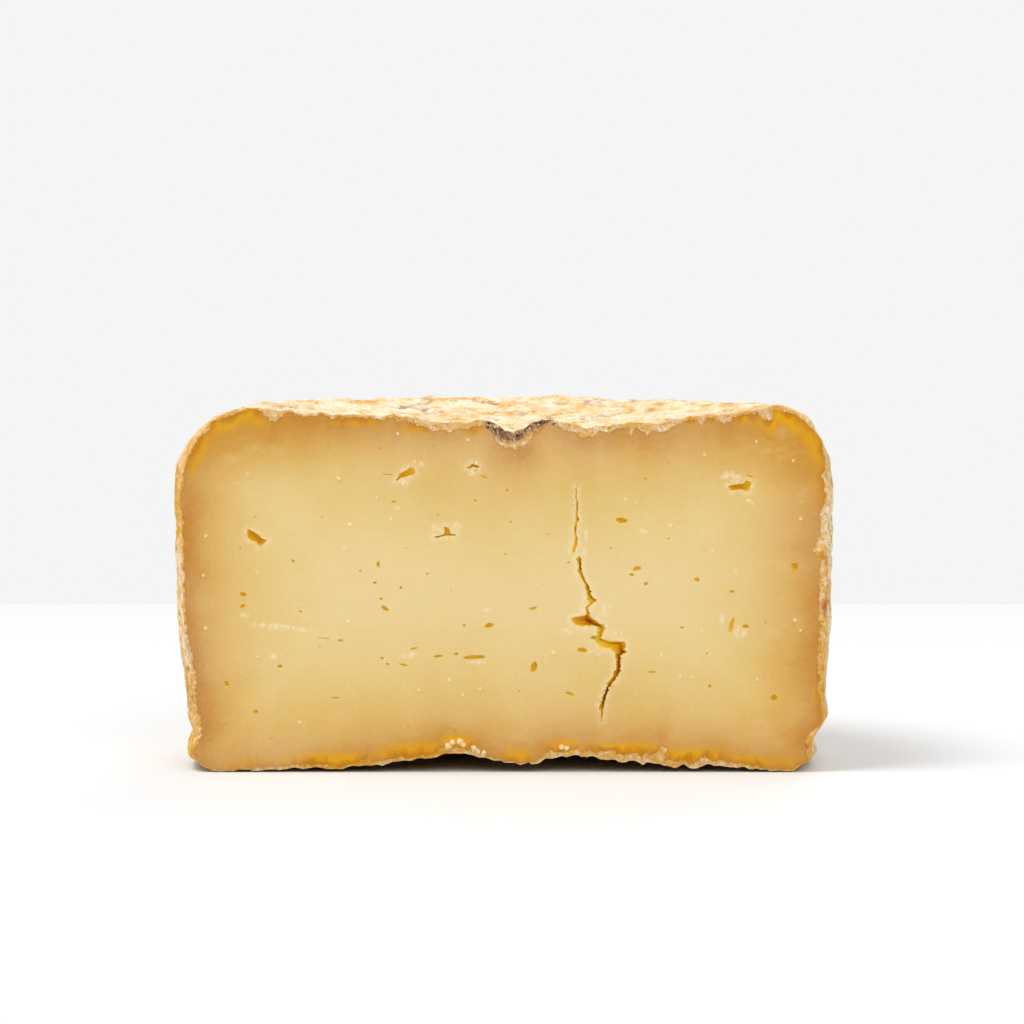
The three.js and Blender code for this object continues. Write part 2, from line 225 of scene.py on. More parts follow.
CRUMBS = [
    (-15.2, 7.3, 0.9), (-14.1, 8.3, 0.7), (-12.0, 8.6, 0.8), (-11.0, 7.6, 0.62), (-8.1, 6.6, 0.85),
    (-7.0, 5.8, 0.65), (-5.3, 5.3, 0.7), (16.3, 7.0, 0.7), (17.7, 6.7, 0.62),
]

# The mouldy crease in the top crust, as X and Z along the cut.
MOULD_CREASE = [
    (-3.2, 96.6), (-0.7, 95.0), (1.0, 93.8), (3.4, 93.8), (5.0, 95.0), (6.8, 96.5), (9.2, 97.4),
    (12.9, 98.0),
]

# Golden, waxy paste just under the crust: X, Z, half width, half height, strength.
GOLDEN_SPOTS = [
    (-69.5, 100.5, 6, 2.6, 0.8), (-40, 98.0, 12, 2.0, 0.8), (-23, 96.0, 6, 2.2, 0.8), (-8, 95, 4, 2, 0.6),
    (8.5, 95.6, 3.6, 2.6, 0.6), (24, 94, 3, 1.5, 0.4), (45, 97.5, 3, 1.5, 0.5), (51.5, 98.5, 2.2, 2.6, 0.9),
    (57.5, 99.2, 2.4, 2.6, 0.9), (66.5, 99.5, 4.6, 3.6, 0.8), (78, 98.5, 10, 8, 1.0), (86, 92, 6, 9, 0.8),
    (89, 80, 4, 9, 0.5), (-76, 98, 14, 6, 0.8), (-86, 91, 8, 11, 0.75), (-46, 2.6, 18, 4.2, 1.0),
    (-24, 5.0, 15, 4.4, 1.0), (-13, 8.2, 6, 4.2, 1.0), (4, 4.6, 5, 3.2, 0.8), (17, 6.4, 6, 4.2, 0.9),
    (33, 5.6, 18, 3.8, 1.0), (52, 4.0, 16, 3.8, 1.0), (68, 2.6, 10, 2.8, 0.9), (88, 22, 2.6, 8, 0.6),
    (-90, 60, 2.6, 14, 0.4), (-88, 24, 2.4, 8, 0.6), (90, 48, 2.0, 8, 0.3), (-70, 1.5, 10, 3, 0.5),
    (80, 2, 9, 3, 0.45), (-86, 9, 2, 7, 0.4), (88, 10, 2.4, 8, 0.45),
]

# The same, on the crust only.
GOLDEN_CRUST = [
    (84, 8, 9, 13, 1.0), (92, 17, 8, 9, 0.9), (-84, 6, 9, 10, 1.0), (92, 30, 6, 9, 0.7),
    (92, 48, 6, 8, 0.5), (-92, 72, 7, 18, 0.8), (84, 94, 17, 14, 1.0), (-82, 95, 16, 12, 1.0),
]
# The same, and only where the crust is cut through.
GOLDEN_SLICE = [(0, 97, 76, 8, 0.6), (-90, 50, 6, 34, 0.5)]

# Small rust-red marks on the crust beside the cut, in the same order.
RUST_MARKS = [
    (90.4, 46.3, 3.2, 2.4, 1.0), (91.2, 58.6, 2.2, 2.2, 0.8), (91.2, 56.0, 2.0, 2.0, 0.8),
    (90.5, 53.4, 1.0, 1.1, 0.4), (-91.0, 44.0, 1.0, 1.3, 0.3), (-89.5, 83.0, 1.4, 1.0, 0.5),
    (84.5, 7.2, 2.2, 0.9, 0.8),
]

# Amber paste that spreads in from the corners, the sides and the base: X, Z, half width, half height, strength.
AMBER_CORNERS = [
    (84, 96, 28, 26, 1.0), (-76, 100, 42, 22, 0.85), (-24, 102, 44, 13, 0.5), (94, 52, 30, 66, 0.5),
    (-94, 60, 12, 50, 0.3), (52, 100, 34, 20, 0.5), (24, -4, 92, 24, 0.8), (86, 4, 30, 26, 0.5),
]

# Crevices in the top crust that run along the cut: X, distance behind the cut, length and how brown.
TOP_CREVICES = [
    (-50, 3, 5, 1.0), (-46, 9, 3, 0.7), (-38, 34, 5, 0.9), (-34, 44, 3, 0.8), (-27, 14, 8, 0.5),
    (-60, 26, 6, 0.6), (-14, 6, 7, 0.5), (-10, 40, 9, 0.5), (4, 52, 6, 0.8), (12, 20, 7, 0.5),
    (19, 9, 9, 0.8), (27, 42, 12, 0.9), (33, 6, 5, 0.6), (38, 16, 6, 0.5), (44, 60, 8, 0.6),
    (52, 5, 4, 0.9), (58, 30, 7, 0.7), (66, 12, 5, 0.8), (70, 4, 4, 0.9), (-70, 8, 4, 0.7),
    (-20, 58, 7, 0.6),
]

# The crust's roughness: pits, with their sizes and how brown they are, and crevices that wander over it.
PIT_COUNT = 420
PIT_SIZES = {"a": [1.0, 1.5, 2.4, 3.4], "p": [0.45, 0.3, 0.18, 0.07]}
PIT_BROWN = {"a": [0.15, 0.5, 1.0], "p": [0.45, 0.3, 0.25]}
PIT_DEPTH = 0.28  # of the pit's size
CREVICE_COUNT = 120
CREVICE_STEPS = (8, 34)
CREVICE_STRIDE = 0.8
CREVICE_REACH = 1.25
CREVICE_SWERVE = 0.45
FOLD_DEPTH = 0.85
FOOT_HOLD = 0.45  # how much of the roughness the foot loses
TOP_FILL = 0.8  # how much higher the top is away from the cut
SIDE_TRIM = 0.3  # how far in the side is set, so that its lumps stay inside the box

# Crystals and crumbs: points round each, the smallest crumb, and extra tiny crystals at random places.
DISC_POINTS = 10
CRUMB_SIZE = 0.6
CRYSTAL_RISE = 0.08
SKIRT = 0.14
EXTRA_CRYSTALS = 26

# Hollows: share of the outline left and share of the depth reached, ring by ring.
EYE_RINGS = ((0.9, 0.36), (0.74, 0.8), (0.4, 1.0))
CRACK_RINGS = ((0.9, 0.22), (0.66, 0.42), (0.3, 0.62))

# Fineness of the mesh.
ROW_STEP = 0.96
CUT_STEP = 0.62
BACK_STEP = 1.75
CLOSEST = 0.45
COARSEST = 4.0
WIDEN_ROUND = 0.045  # how fast the columns of the side widen away from the cut
WIDEN_BACK = 0.055  # the same for the points of the top and the base
PASTE_STEP = 1.9  # the widest spacing on the cut
SHARP_EDGE = 50  # degrees

# How far under the crust a point is taken to lie where it isn't on the cut: in the hollows, and on the outside.
PASTE_UNDER = 9.0
RIND_UNDER = -3.0

# Heights between which things change: the top's edge moves, the base's edge moves, the crust
# counts as the top's, and the side's colours give way to the top's.
TOP_MOVES = (84, 97)
BASE_MOVES = (1.0, 16)
TOP_STARTS = (88, 96)
SIDE_ENDS = (82, 98)
BASE_HALF = 74  # half the width over which the base's edge moves

# Unwrapping: each region of the surface gets its own part of the map, as left, bottom, width and height.
CUT_ROOM = (0.005, 0.45, 0.99, 0.545)
SIDE_ROOM = (0.005, 0.225, 0.99, 0.215)
TOP_ROOM = (0.005, 0.005, 0.485, 0.21)
BASE_ROOM = (0.51, 0.005, 0.485, 0.21)

RNG = np.random.default_rng(20)


# ---------------------------------------------------------------- noise and curves

class Noise:
    """Smooth noise over space, about -1 to 1. Its size is the distance over which it changes."""

    def __init__(self, seed):
        draws = np.random.default_rng(seed)
        self.order = draws.permutation(256)
        slopes = draws.normal(size=(256, 3))
        self.slopes = slopes / np.linalg.norm(slopes, axis=1)[:, None]

    def layer(self, places):
        cell = np.floor(places).astype(int)
        inside = places - cell
        fade = inside ** 3 * (inside * (inside * 6 - 15) + 10)
        total = np.zeros(len(places))
        for corner in np.ndindex(2, 2, 2):
            near = (cell + corner) & 255
            pick = self.order[(self.order[(self.order[near[:, 0]] + near[:, 1]) & 255] + near[:, 2]) & 255]
            weight = np.prod(np.where(corner, fade, 1 - fade), axis=1)
            total += weight * np.sum(self.slopes[pick] * (inside - corner), axis=1)
        return total * 1.5

    def __call__(self, places, size, octaves=1):
        total = np.zeros(len(places))
        for octave in range(octaves):
            total += self.layer(places / size * 2 ** octave + 17.3 * octave) / 2 ** octave
        return total


def rounded(values, low, high):
    """0 below low, 1 above high, and a smooth step between."""
    share = np.clip((values - low) / (high - low), 0, 1)
    return share * share * (3 - 2 * share)


def listed(pairs, where):
    """The table's second value at each place along its first."""
    xs, ys = zip(*pairs)
    return np.interp(where, xs, ys)


def spline(points, steps):
    """A smooth curve through the points, with the ends doubled."""
    p = np.array([points[0], *points, points[-1]], float)
    curve = []
    for i in range(1, len(p) - 2):
        for t in np.linspace(0, 1, steps, endpoint=False):
            curve.append(0.5 * (2 * p[i] + (p[i + 1] - p[i - 1]) * t
                                + (2 * p[i - 1] - 5 * p[i] + 4 * p[i + 1] - p[i + 2]) * t ** 2
                                + (3 * p[i] - p[i - 1] - 3 * p[i + 1] + p[i + 2]) * t ** 3))
    return np.array(curve + [p[-2]])


def bezier(a, b, c, d, steps=40):
    t = np.linspace(0, 1, steps)[:, None]
    a, b, c, d = (np.array(p, float) for p in (a, b, c, d))
    return a * (1 - t) ** 3 + 3 * b * t * (1 - t) ** 2 + 3 * c * t * t * (1 - t) + d * t ** 3


def spaced(curve, step):
    """The same curve with points a step apart."""
    run = np.concatenate([[0], np.cumsum(np.linalg.norm(np.diff(curve, axis=0), axis=1))])
    even = np.linspace(0, run[-1], max(2, round(run[-1] / step) + 1))
    return np.stack([np.interp(even, run, column) for column in curve.T], axis=1)


def closed(ring):
    return np.concatenate([ring, ring[:1]])


def upright(places, y=0.0):
    """Places of the cut face, X and Z, stood up as points at a given Y."""
    return np.column_stack([places[:, 0], np.full(len(places), y), places[:, 1]])


def kd_tree(points):
    tree = KDTree(len(points))
    for i, p in enumerate(points):
        tree.insert(p if len(p) == 3 else (p[0], p[1], 0), i)
    tree.balance()
    return tree


# ---------------------------------------------------------------- the wheel's smooth shape

def side_profile():
    """The side from the outer edge of the ring it stands on to the top of the rim, as radius and height."""
    foot = FOOT_SIDE[-1][1]
    shoulder = WHEEL_HEIGHT - SHOULDER_SIDE[0][1]
    points = [(RING_OUTER, 0)]
    points += [(WHEEL_RADIUS - inset, up) for inset, up in FOOT_SIDE]
    points += [(WHEEL_RADIUS - inset, foot + share * (shoulder - foot)) for inset, share in MIDDLE_SIDE]
    points += [(WHEEL_RADIUS - inset, WHEEL_HEIGHT - down) for inset, down in SHOULDER_SIDE]
    points += [(RIM_RADIUS, WHEEL_HEIGHT)]
    return spaced(spline(points, 12), ROW_STEP)


def waves(table, angle, z):
    up = z / WHEEL_HEIGHT
    return sum(depth * np.cos(lobes * angle + turn + twist * up) for lobes, depth, turn, twist in table)


def side_radius(radius, angle, z):
    """The side's radius with its waves, and the bulges of the foot on the right and the left."""
    foot = 0
    for way, bulges in ((1, RIGHT_FOOT), (-1, LEFT_FOOT)):
        towards = rounded(way * np.cos(angle), 0.1, 0.8)
        swell = sum(out * np.exp(-((z - height) / spread) ** 2) for height, spread, out in bulges)
        foot = foot + towards * swell
    return radius + (radius / WHEEL_RADIUS) ** 2 * waves(SIDE_WAVES, angle, z) + foot


def top_lift(radius, angle, z):
    out = radius / WHEEL_RADIUS
    return 4 * out * (1 - out) * rounded(z / WHEEL_HEIGHT, 0.8, 0.9) * waves(TOP_WAVES, angle, 0.0)


SUNKEN = WHEEL_HEIGHT - TOP_DISH
TOP_CURVE = bezier((0, SUNKEN), (RIM_RADIUS * 0.5, SUNKEN), (RIM_RADIUS * 0.8, WHEEL_HEIGHT),
                   (RIM_RADIUS, WHEEL_HEIGHT))
BASE_CURVE = bezier((0, BASE_DISH), (RING_INNER * 0.5, BASE_DISH), (RING_INNER * 0.8, BASE_DISH * 0.3),
                    (RING_INNER, 0))


def top_height(x, y):
    radius = np.hypot(x, y)
    angle = np.arctan2(y, x)
    return np.interp(radius, *TOP_CURVE.T) + top_lift(radius, angle, WHEEL_HEIGHT)


def base_height(x, y):
    return np.interp(np.hypot(x, y), *BASE_CURVE.T)


def fit_edges(points):
    """Bends the top and base to the heights that their crusts have along the cut."""
    x, y, z = points.T
    near = np.exp(-((y - CUT) / EDGE_REACH) ** 2)
    at_cut = np.full(len(x), CUT)
    edge = np.clip(x, TOP_EDGE[0][0], TOP_EDGE[-1][0])
    top = listed(TOP_EDGE, edge) - top_height(edge, at_cut)
    foot = np.clip(x, BASE_EDGE[0][0], BASE_EDGE[-1][0])
    base = listed(BASE_EDGE, foot) - base_height(foot, at_cut)
    base = base * (1 - rounded(z, *BASE_MOVES)) * (np.abs(x) < BASE_HALF)
    points[:, 2] += near * (top * rounded(z, *TOP_MOVES) + base)
    fray = np.exp(-((y - CUT) / FRAY_REACH) ** 2)
    lumps = Noise(51)(upright(points[:, [0, 2]]), FRAY_SIZE, 2)
    flaky = 0.6 + 0.4 * rounded(x, 8, 20) * (1 - rounded(x, 58, 66))
    points[:, 2] += fray * (0.95 * lumps - 0.45) * (1 - rounded(z, 3, 9)) * (np.abs(x) < 70) * flaky
    points[:, 2] += fray * (0.2 * lumps + 0.1) * rounded(z, 92, 95)
    return full_shoulders(points)


def full_shoulders(points):
    """Swells the shoulders outwards along the diagonal between the side and the top."""
    side = np.sign(points[:, 0])
    out = np.stack([np.abs(points[:, 0]) - SHOULDER_FROM[0], points[:, 2] - SHOULDER_FROM[1]], axis=1)
    out = np.maximum(out, 0)
    length = np.linalg.norm(out, axis=1)
    near = np.exp(-((points[:, 1] - CUT) / SHOULDER_REACH) ** 2)
    diagonal = 2 * out[:, 0] * out[:, 1] / np.maximum(length, 1e-6) ** 2
    (left, left_cut), (right, right_cut) = SHOULDERS["left"], SHOULDERS["right"]
    swell = np.where(side < 0, left + left_cut * near, right + right_cut * near)
    push = swell * diagonal * rounded(length, 3, 9)
    points[:, 0] += side * push * out[:, 0] / np.maximum(length, 1e-6)
    points[:, 2] += push * out[:, 1] / np.maximum(length, 1e-6)
    return points


def side_grid():
    """Rows up the side and columns round it, from the right end of the cut to the left end."""
    profile = side_profile()
    half_turn = math.pi / 2 + math.asin(-CUT / WHEEL_RADIUS)
    steps = [0.0]
    while steps[-1] < half_turn * WHEEL_RADIUS:
        steps.append(steps[-1] + min(BACK_STEP, CUT_STEP + WIDEN_ROUND * steps[-1]))
    half = np.array(steps) / steps[-1] / 2
    shares = np.concatenate([half, 1 - half[-2::-1]])
    grid = np.empty((len(profile), len(shares), 3))
    for row, (radius, z) in enumerate(profile):
        right, left = 0.0, math.pi
        for _ in range(6):  # settles where the wavy side meets the cut
            right = math.asin(CUT / side_radius(radius, right, z))
            left = math.pi - math.asin(CUT / side_radius(radius, left, z))
        angle = right + (left - right) * shares
        out = side_radius(radius, angle, z)
        lift = top_lift(radius, angle, z)
        grid[row] = np.stack([out * np.cos(angle), out * np.sin(angle), z + lift], axis=1)
    run = (shares - 0.5) * 2
    rise = np.linspace(0, 1, len(profile))
    return grid, run, rise


def front_chord(left, right):
    """Points along the cut from left to right, without its ends."""
    count = round((right[0] - left[0]) / CUT_STEP)
    x = np.linspace(left[0], right[0], count + 1)[1:-1]
    return np.stack([x, np.full(len(x), CUT)], axis=1)


def scattered(low, high, closest, spacing):
    """Jittered points over a box, as close together as spacing asks at each."""
    found = []
    step = closest
    coarser = 1.6
    while step < COARSEST:
        xs, ys = np.meshgrid(np.arange(low[0], high[0], step), np.arange(low[1], high[1], step * 0.866))
        xs[1::2] += step / 2
        places = np.stack([xs.ravel(), ys.ravel()], axis=1)
        places += RNG.uniform(-0.18, 0.18, places.shape) * step
        wanted = spacing(places)
        found.append(places[(wanted >= step) & (wanted < step * coarser)])
        step *= coarser
    return np.concatenate(found)


def inside(places, loop):
    """Which places lie inside a closed loop."""
    hit = np.zeros(len(places), bool)
    x, y = places.T
    for (x0, y0), (x1, y1) in zip(loop, np.roll(loop, -1, axis=0)):
        if y0 == y1:
            continue
        crosses = ((y0 > y) != (y1 > y)) & (x < (x1 - x0) * (y - y0) / (y1 - y0) + x0)
        hit ^= crosses
    return hit


def gap_to(samples, places):
    """How far each place is from the nearest sample."""
    tree = kd_tree(samples)
    return np.array([tree.find((x, y, 0))[2] for x, y in places])


def triangulated(places, loops, holes=()):
    """Triangles between flat places. Loops are closed edges, and the holes among them stay open."""
    edges = [(a, b) for loop in loops for a, b in zip(loop, np.roll(loop, -1))]
    _, _, faces, origin, _, _ = delaunay_2d_cdt([Vector(p) for p in places], edges, [], 0, 1e-6)
    back = [own[0] if own else None for own in origin]
    tris = np.array([[back[i] for i in face] for face in faces if None not in [back[i] for i in face]])
    middles = places[tris].mean(axis=1)
    keep = inside(middles, places[loops[0]])
    for hole in holes:
        box_low, box_high = places[hole].min(axis=0), places[hole].max(axis=0)
        close = np.flatnonzero(np.all((middles > box_low) & (middles < box_high), axis=1))
        keep[close] &= ~inside(middles[close], places[hole])
    return tris[keep]


# ---------------------------------------------------------------- the rind

def flat_cap(rim, height):
    """The top or the base: its rim from the side's grid, a straight front and scattered points between."""
    chord = front_chord(rim[-1], rim[0])
    outline = np.concatenate([rim[:, :2], chord])
    ring = spaced(closed(outline), 0.5)

    def spacing(places):
        gap = gap_to(ring, places)
        wanted = CUT_STEP + WIDEN_BACK * (places[:, 1] - CUT)
        wanted = np.clip(wanted, CUT_STEP, BACK_STEP * 0.9)
        return np.where(inside(places, outline) & (gap > 0.55 * wanted), wanted, -1)

    low, high = outline.min(axis=0), outline.max(axis=0)
    inner = scattered(low, high, CUT_STEP, spacing)
    places = np.concatenate([outline, inner])
    tris = triangulated(places, [np.arange(len(outline))])
    extra = places[len(rim):]
    points = np.column_stack([extra, height(*extra.T)])
    return points, tris, len(chord)


def normals(points, faces):
    """Outward directions of a mesh of triangles, averaged at its points."""
    a, b, c = (points[faces[:, i]] for i in range(3))
    turn = np.cross(b - a, c - a)
    total = np.zeros_like(points)
    for i in range(3):
        np.add.at(total, faces[:, i], turn)
    length = np.linalg.norm(total, axis=1)[:, None]
    return total / np.maximum(length, 1e-9)


def dents(points, out):
    """Pits and wandering crevices in the crust: how deep each point sinks, and how brown it turns."""
    tree = kd_tree(points)
    sink = np.zeros(len(points))
    stain = np.zeros(len(points))

    def dent(centre, radius, depth, brown):
        for _, i, gap in tree.find_range(centre, radius):
            share = (1 - (gap / radius) ** 2) ** 2
            sink[i] = max(sink[i], depth * share)
            stain[i] = max(stain[i], brown * share)

    for i in RNG.choice(len(points), PIT_COUNT, replace=False):
        size = RNG.uniform(0.8, 1.0) * RNG.choice(**PIT_SIZES)
        dent(points[i], size, PIT_DEPTH * size, RNG.choice(**PIT_BROWN))
    for _ in range(CREVICE_COUNT):
        place = points[RNG.integers(len(points))].copy()
        heading = RNG.normal(size=3)
        depth = RNG.uniform(0.25, 0.75)
        brown = RNG.uniform(0.0, 1.0)
        for _ in range(RNG.integers(*CREVICE_STEPS)):
            near, i, _ = tree.find(place)
            heading += CREVICE_SWERVE * RNG.normal(size=3)
            heading -= (heading @ out[i]) * out[i]
            heading /= np.linalg.norm(heading)
            place += heading * CREVICE_STRIDE + ((np.array(near) - place) @ out[i]) * out[i]
            dent(place, CREVICE_REACH, depth, brown)
    for x, back, long, brown in TOP_CREVICES:
        for step in np.arange(0, long, 0.7):
            sway = 0.6 * math.sin(1.3 * step + x)
            place = (x + step - long / 2, CUT + back + sway, top_height(x, CUT + back))
            dent(tree.find(place)[0], RNG.uniform(0.9, 1.5), 0.9, brown)
    return sink, stain


def outer_surface():
    """Every point and face of the crust, rough, with the points that lie on the cut left on it."""
    grid, run, rise = side_grid()
    rows, columns = grid.shape[:2]
    ids = np.arange(rows * columns).reshape(rows, columns)
    top_points, top_tris, top_chord = flat_cap(grid[-1], top_height)
    base_points, base_tris, base_chord = flat_cap(grid[0], base_height)
    top_start = rows * columns
    base_start = top_start + len(top_points)
    top_ids = np.concatenate([ids[-1], np.arange(top_start, base_start)])
    base_ids = np.concatenate([ids[0], np.arange(base_start, base_start + len(base_points))])
    points = fit_edges(np.concatenate([grid.reshape(-1, 3), top_points, base_points]))
    quads = np.stack([ids[:-1, :-1], ids[:-1, 1:], ids[1:, 1:], ids[1:, :-1]], axis=-1).reshape(-1, 4)
    side_tris = np.concatenate([quads[:, [0, 1, 2]], quads[:, [0, 2, 3]]])
    top_faces = facing(points, top_ids[top_tris], "Z", 1)
    base_faces = facing(points, base_ids[base_tris], "Z", -1)
    loop = np.concatenate([
        ids[0, -1:], base_ids[columns:columns + base_chord], ids[:, 0],
        top_ids[columns:columns + top_chord][::-1], ids[::-1, -1][:-1],
    ])
    points, stain = roughened(points, np.concatenate([side_tris, top_faces, base_faces]), loop)
    return {
        "points": points, "stain": stain, "quads": quads, "top": top_faces, "base": base_faces,
        "loop": loop, "run": np.tile(run, rows), "rise": np.repeat(rise, columns),
    }


def facing(points, tris, axis, way):
    """The triangles with their corners in the order that faces along an axis, or against it."""
    a, b, c = (points[tris[:, i]] for i in range(3))
    wrong = np.cross(b - a, c - a)[:, "XYZ".index(axis)] * way < 0
    tris[wrong] = tris[wrong][:, ::-1]
    return tris


def creases(points, on_top):
    """Broken, wandering folds where the crust has shrunk, 0 to 1."""
    fold, mask = Noise(7), Noise(8)
    long_ones = np.exp(-(fold(points * (1, 1, 0.8), 15, 2) / 0.045) ** 2)
    long_ones *= rounded(mask(points, 13), 0.0, 0.35)
    short_ones = np.exp(-(fold(points + 90, 6.5) / 0.07) ** 2)
    short_ones *= rounded(mask(points + 40, 8), 0.15, 0.45)
    return np.maximum(long_ones, short_ones) * (0.65 + 0.35 * on_top)


def roughened(points, faces, loop):
    """The crust's points moved in and out, those on the cut only along it, and how brown each one is."""
    lumps, grain = Noise(3), Noise(5)
    out = normals(points, faces)
    sink, stain = dents(points, out)
    on_top = rounded(points[:, 2], *TOP_STARTS)
    folds = creases(points, on_top)
    sink = np.maximum(sink, FOLD_DEPTH * folds)
    stain = np.maximum(stain, folds)
    below = 1 - rounded(points[:, 2], 0.5, 6)
    height = 0.6 * lumps(points, 19) + 0.5 * lumps(points, 8.5) + 0.38 * grain(points, 4.1)
    height += 0.3 * grain(points, 2.1) + 0.5 * np.abs(grain(points + 50, 6.0)) * on_top
    height += TOP_FILL * on_top * rounded(points[:, 1], CUT + 20, CUT + 50) - SIDE_TRIM * (1 - on_top) - sink
    out[loop, 1] = 0
    out[loop] /= np.maximum(np.linalg.norm(out[loop], axis=1)[:, None], 1e-9)
    held = 1 - FOOT_HOLD * below
    points = points + out * (height * held)[:, None]
    free = np.ones(len(points), bool)
    free[loop] = False
    points[free, 1] = np.maximum(points[free, 1], CUT + 0.05)
    points[loop, 1] = CUT
    points[:, 2] = np.maximum(points[:, 2], 0)
    return points, stain


# ---------------------------------------------------------------- the cut face

def eye_outline(width, height, lean):
    """A ragged oval round an eye's middle."""
    count = max(7, round((width + height) * 1.7 / CLOSEST))
    angle = np.linspace(0, 2 * math.pi, count, endpoint=False)
    ragged = 1 + RNG.uniform(-0.24, 0.16, count)
    x, z = width / 2 * np.cos(angle) * ragged, height / 2 * np.sin(angle) * ragged
    return np.stack(turned(np.stack([x, z], axis=1), 0, 0, -lean), axis=1)


def hollows():
    """Each hollow in the cut as its left and right edges, or its outline, and its depth."""
    found = []
    for (x, z), depth, outline in TORN_EYES:
        ring = spaced(closed(np.array(outline, float)), CLOSEST * 1.1)[:-1]
        found.append(("eye", ring + (x, z) + RNG.uniform(-0.06, 0.06, ring.shape), depth))
    for x, z, width, height, lean in EYES:
        depth = 0.1 + 0.42 * min(width, height)
        found.append(("eye", eye_outline(width, height, lean) + (x, z), depth))
    for course in (UPPER_CRACK, MAIN_CRACK):
        stations = np.array(course, float)
        at = np.arange(len(stations))
        between = np.linspace(0, at[-1], at[-1] * CRACK_FINENESS + 1)
        left_x, left_z, right_x, right_z, depth = (np.interp(between, at, column) for column in stations.T)
        width = np.hypot(right_x - left_x, right_z - left_z)
        edges = np.stack([np.stack([left_x, left_z], axis=1), np.stack([right_x, right_z], axis=1)])
        ragged = np.minimum(CRACK_RAGGED, 0.2 * width[1:-1] + 0.02)[None, :, None]
        edges[:, 1:-1] += RNG.uniform(-1, 1, edges[:, 1:-1].shape) * ragged * (1, 0.5)
        found.append(("crack", edges, depth))
    return found


def crack_loop(edges):
    return np.concatenate([edges[0], edges[1][::-1]])


def turned(places, x, z, lean):
    """Places as X and Z seen from a middle whose own axes lean."""
    angle = math.radians(lean)
    dx, dz = places[:, 0] - x, places[:, 1] - z
    return dx * math.cos(angle) + dz * math.sin(angle), dz * math.cos(angle) - dx * math.sin(angle)


def crust_thickness(places, outline):
    """How thick the crust is at each place's nearest point of the outline, and how far off that point is."""
    tree = kd_tree(outline)
    near = [tree.find((x, z, 0)) for x, z in places]
    spot = np.array([n[0][:2] for n in near])
    gap = np.array([n[2] for n in near])
    x, z = spot.T
    up_side = np.where(x < 0, listed(LEFT_CRUST, z), listed(RIGHT_CRUST, z))
    flat = np.where(z > WHEEL_HEIGHT / 2, listed(TOP_CRUST, x), listed(BASE_CRUST, x))
    on_flat = rounded(np.abs(x), 80, 74)
    thickness = flat * on_flat + up_side * (1 - on_flat)
    fuzz = Noise(11)
    stood = upright(places)
    below = 1 - rounded(places[:, 1], 6, 14)
    uneven = 1 + (0.28 + 0.4 * below) * fuzz(stood, 2.3)
    return thickness * uneven + 0.3 * fuzz(stood, 1.1), gap


def crystal_discs():
    """Small uneven discs of points for the crystals and crumbs, each with a skirt just outside it.

    Gives the points, how white each is, how far it stands out, and the discs.
    """
    spots = [(x, z, RNG.uniform(0.3, 0.46), 0.8) for x, z in CRYSTALS] + [(*crumb, 1.0) for crumb in CRUMBS]
    for _ in range(EXTRA_CRYSTALS):
        x, z = RNG.uniform(-84, 84), RNG.uniform(8, 92)
        spots.append((x, z, RNG.uniform(0.16, 0.26), 0.6))
    places, marks, rises = [], [], []
    for x, z, size, white in spots:
        angle = np.linspace(0, 2 * math.pi, DISC_POINTS, endpoint=False) + RNG.uniform(0, 1)
        reach = size * RNG.uniform(0.82, 1.15, DISC_POINTS)
        crumb = size > CRUMB_SIZE
        places.append((x, z))
        marks.append(white)
        rises.append(0.5 * size if crumb else 0.12)
        levels = [(0.5, 0.0, white, 0.42 * size)] if crumb else []
        levels += [(1.0, 0.0, white, 0.12 * size if crumb else CRYSTAL_RISE), (1.0, SKIRT, 0.0, 0.0)]
        for share, skirt, mark, rise in levels:
            out = reach * share + skirt
            places += list(zip(x + out * np.cos(angle), z + out * np.sin(angle)))
            marks += [mark] * len(angle)
            rises += [rise] * len(angle)
    return np.array(places), np.array(marks), np.array(rises), spots


def on_paste(places, loops):
    """Which places lie inside the first loop and outside the others."""
    kept = inside(places, loops[0])
    for loop in loops[1:]:
        kept &= ~inside(places, loop)
    return kept


def clear_of(places, loops, margin):
    """Which places lie on the paste and no nearer to any loop than the margin."""
    rim = np.concatenate([spaced(closed(loop), 0.2) for loop in loops])
    return (gap_to(rim, places) > margin) & on_paste(places, loops)


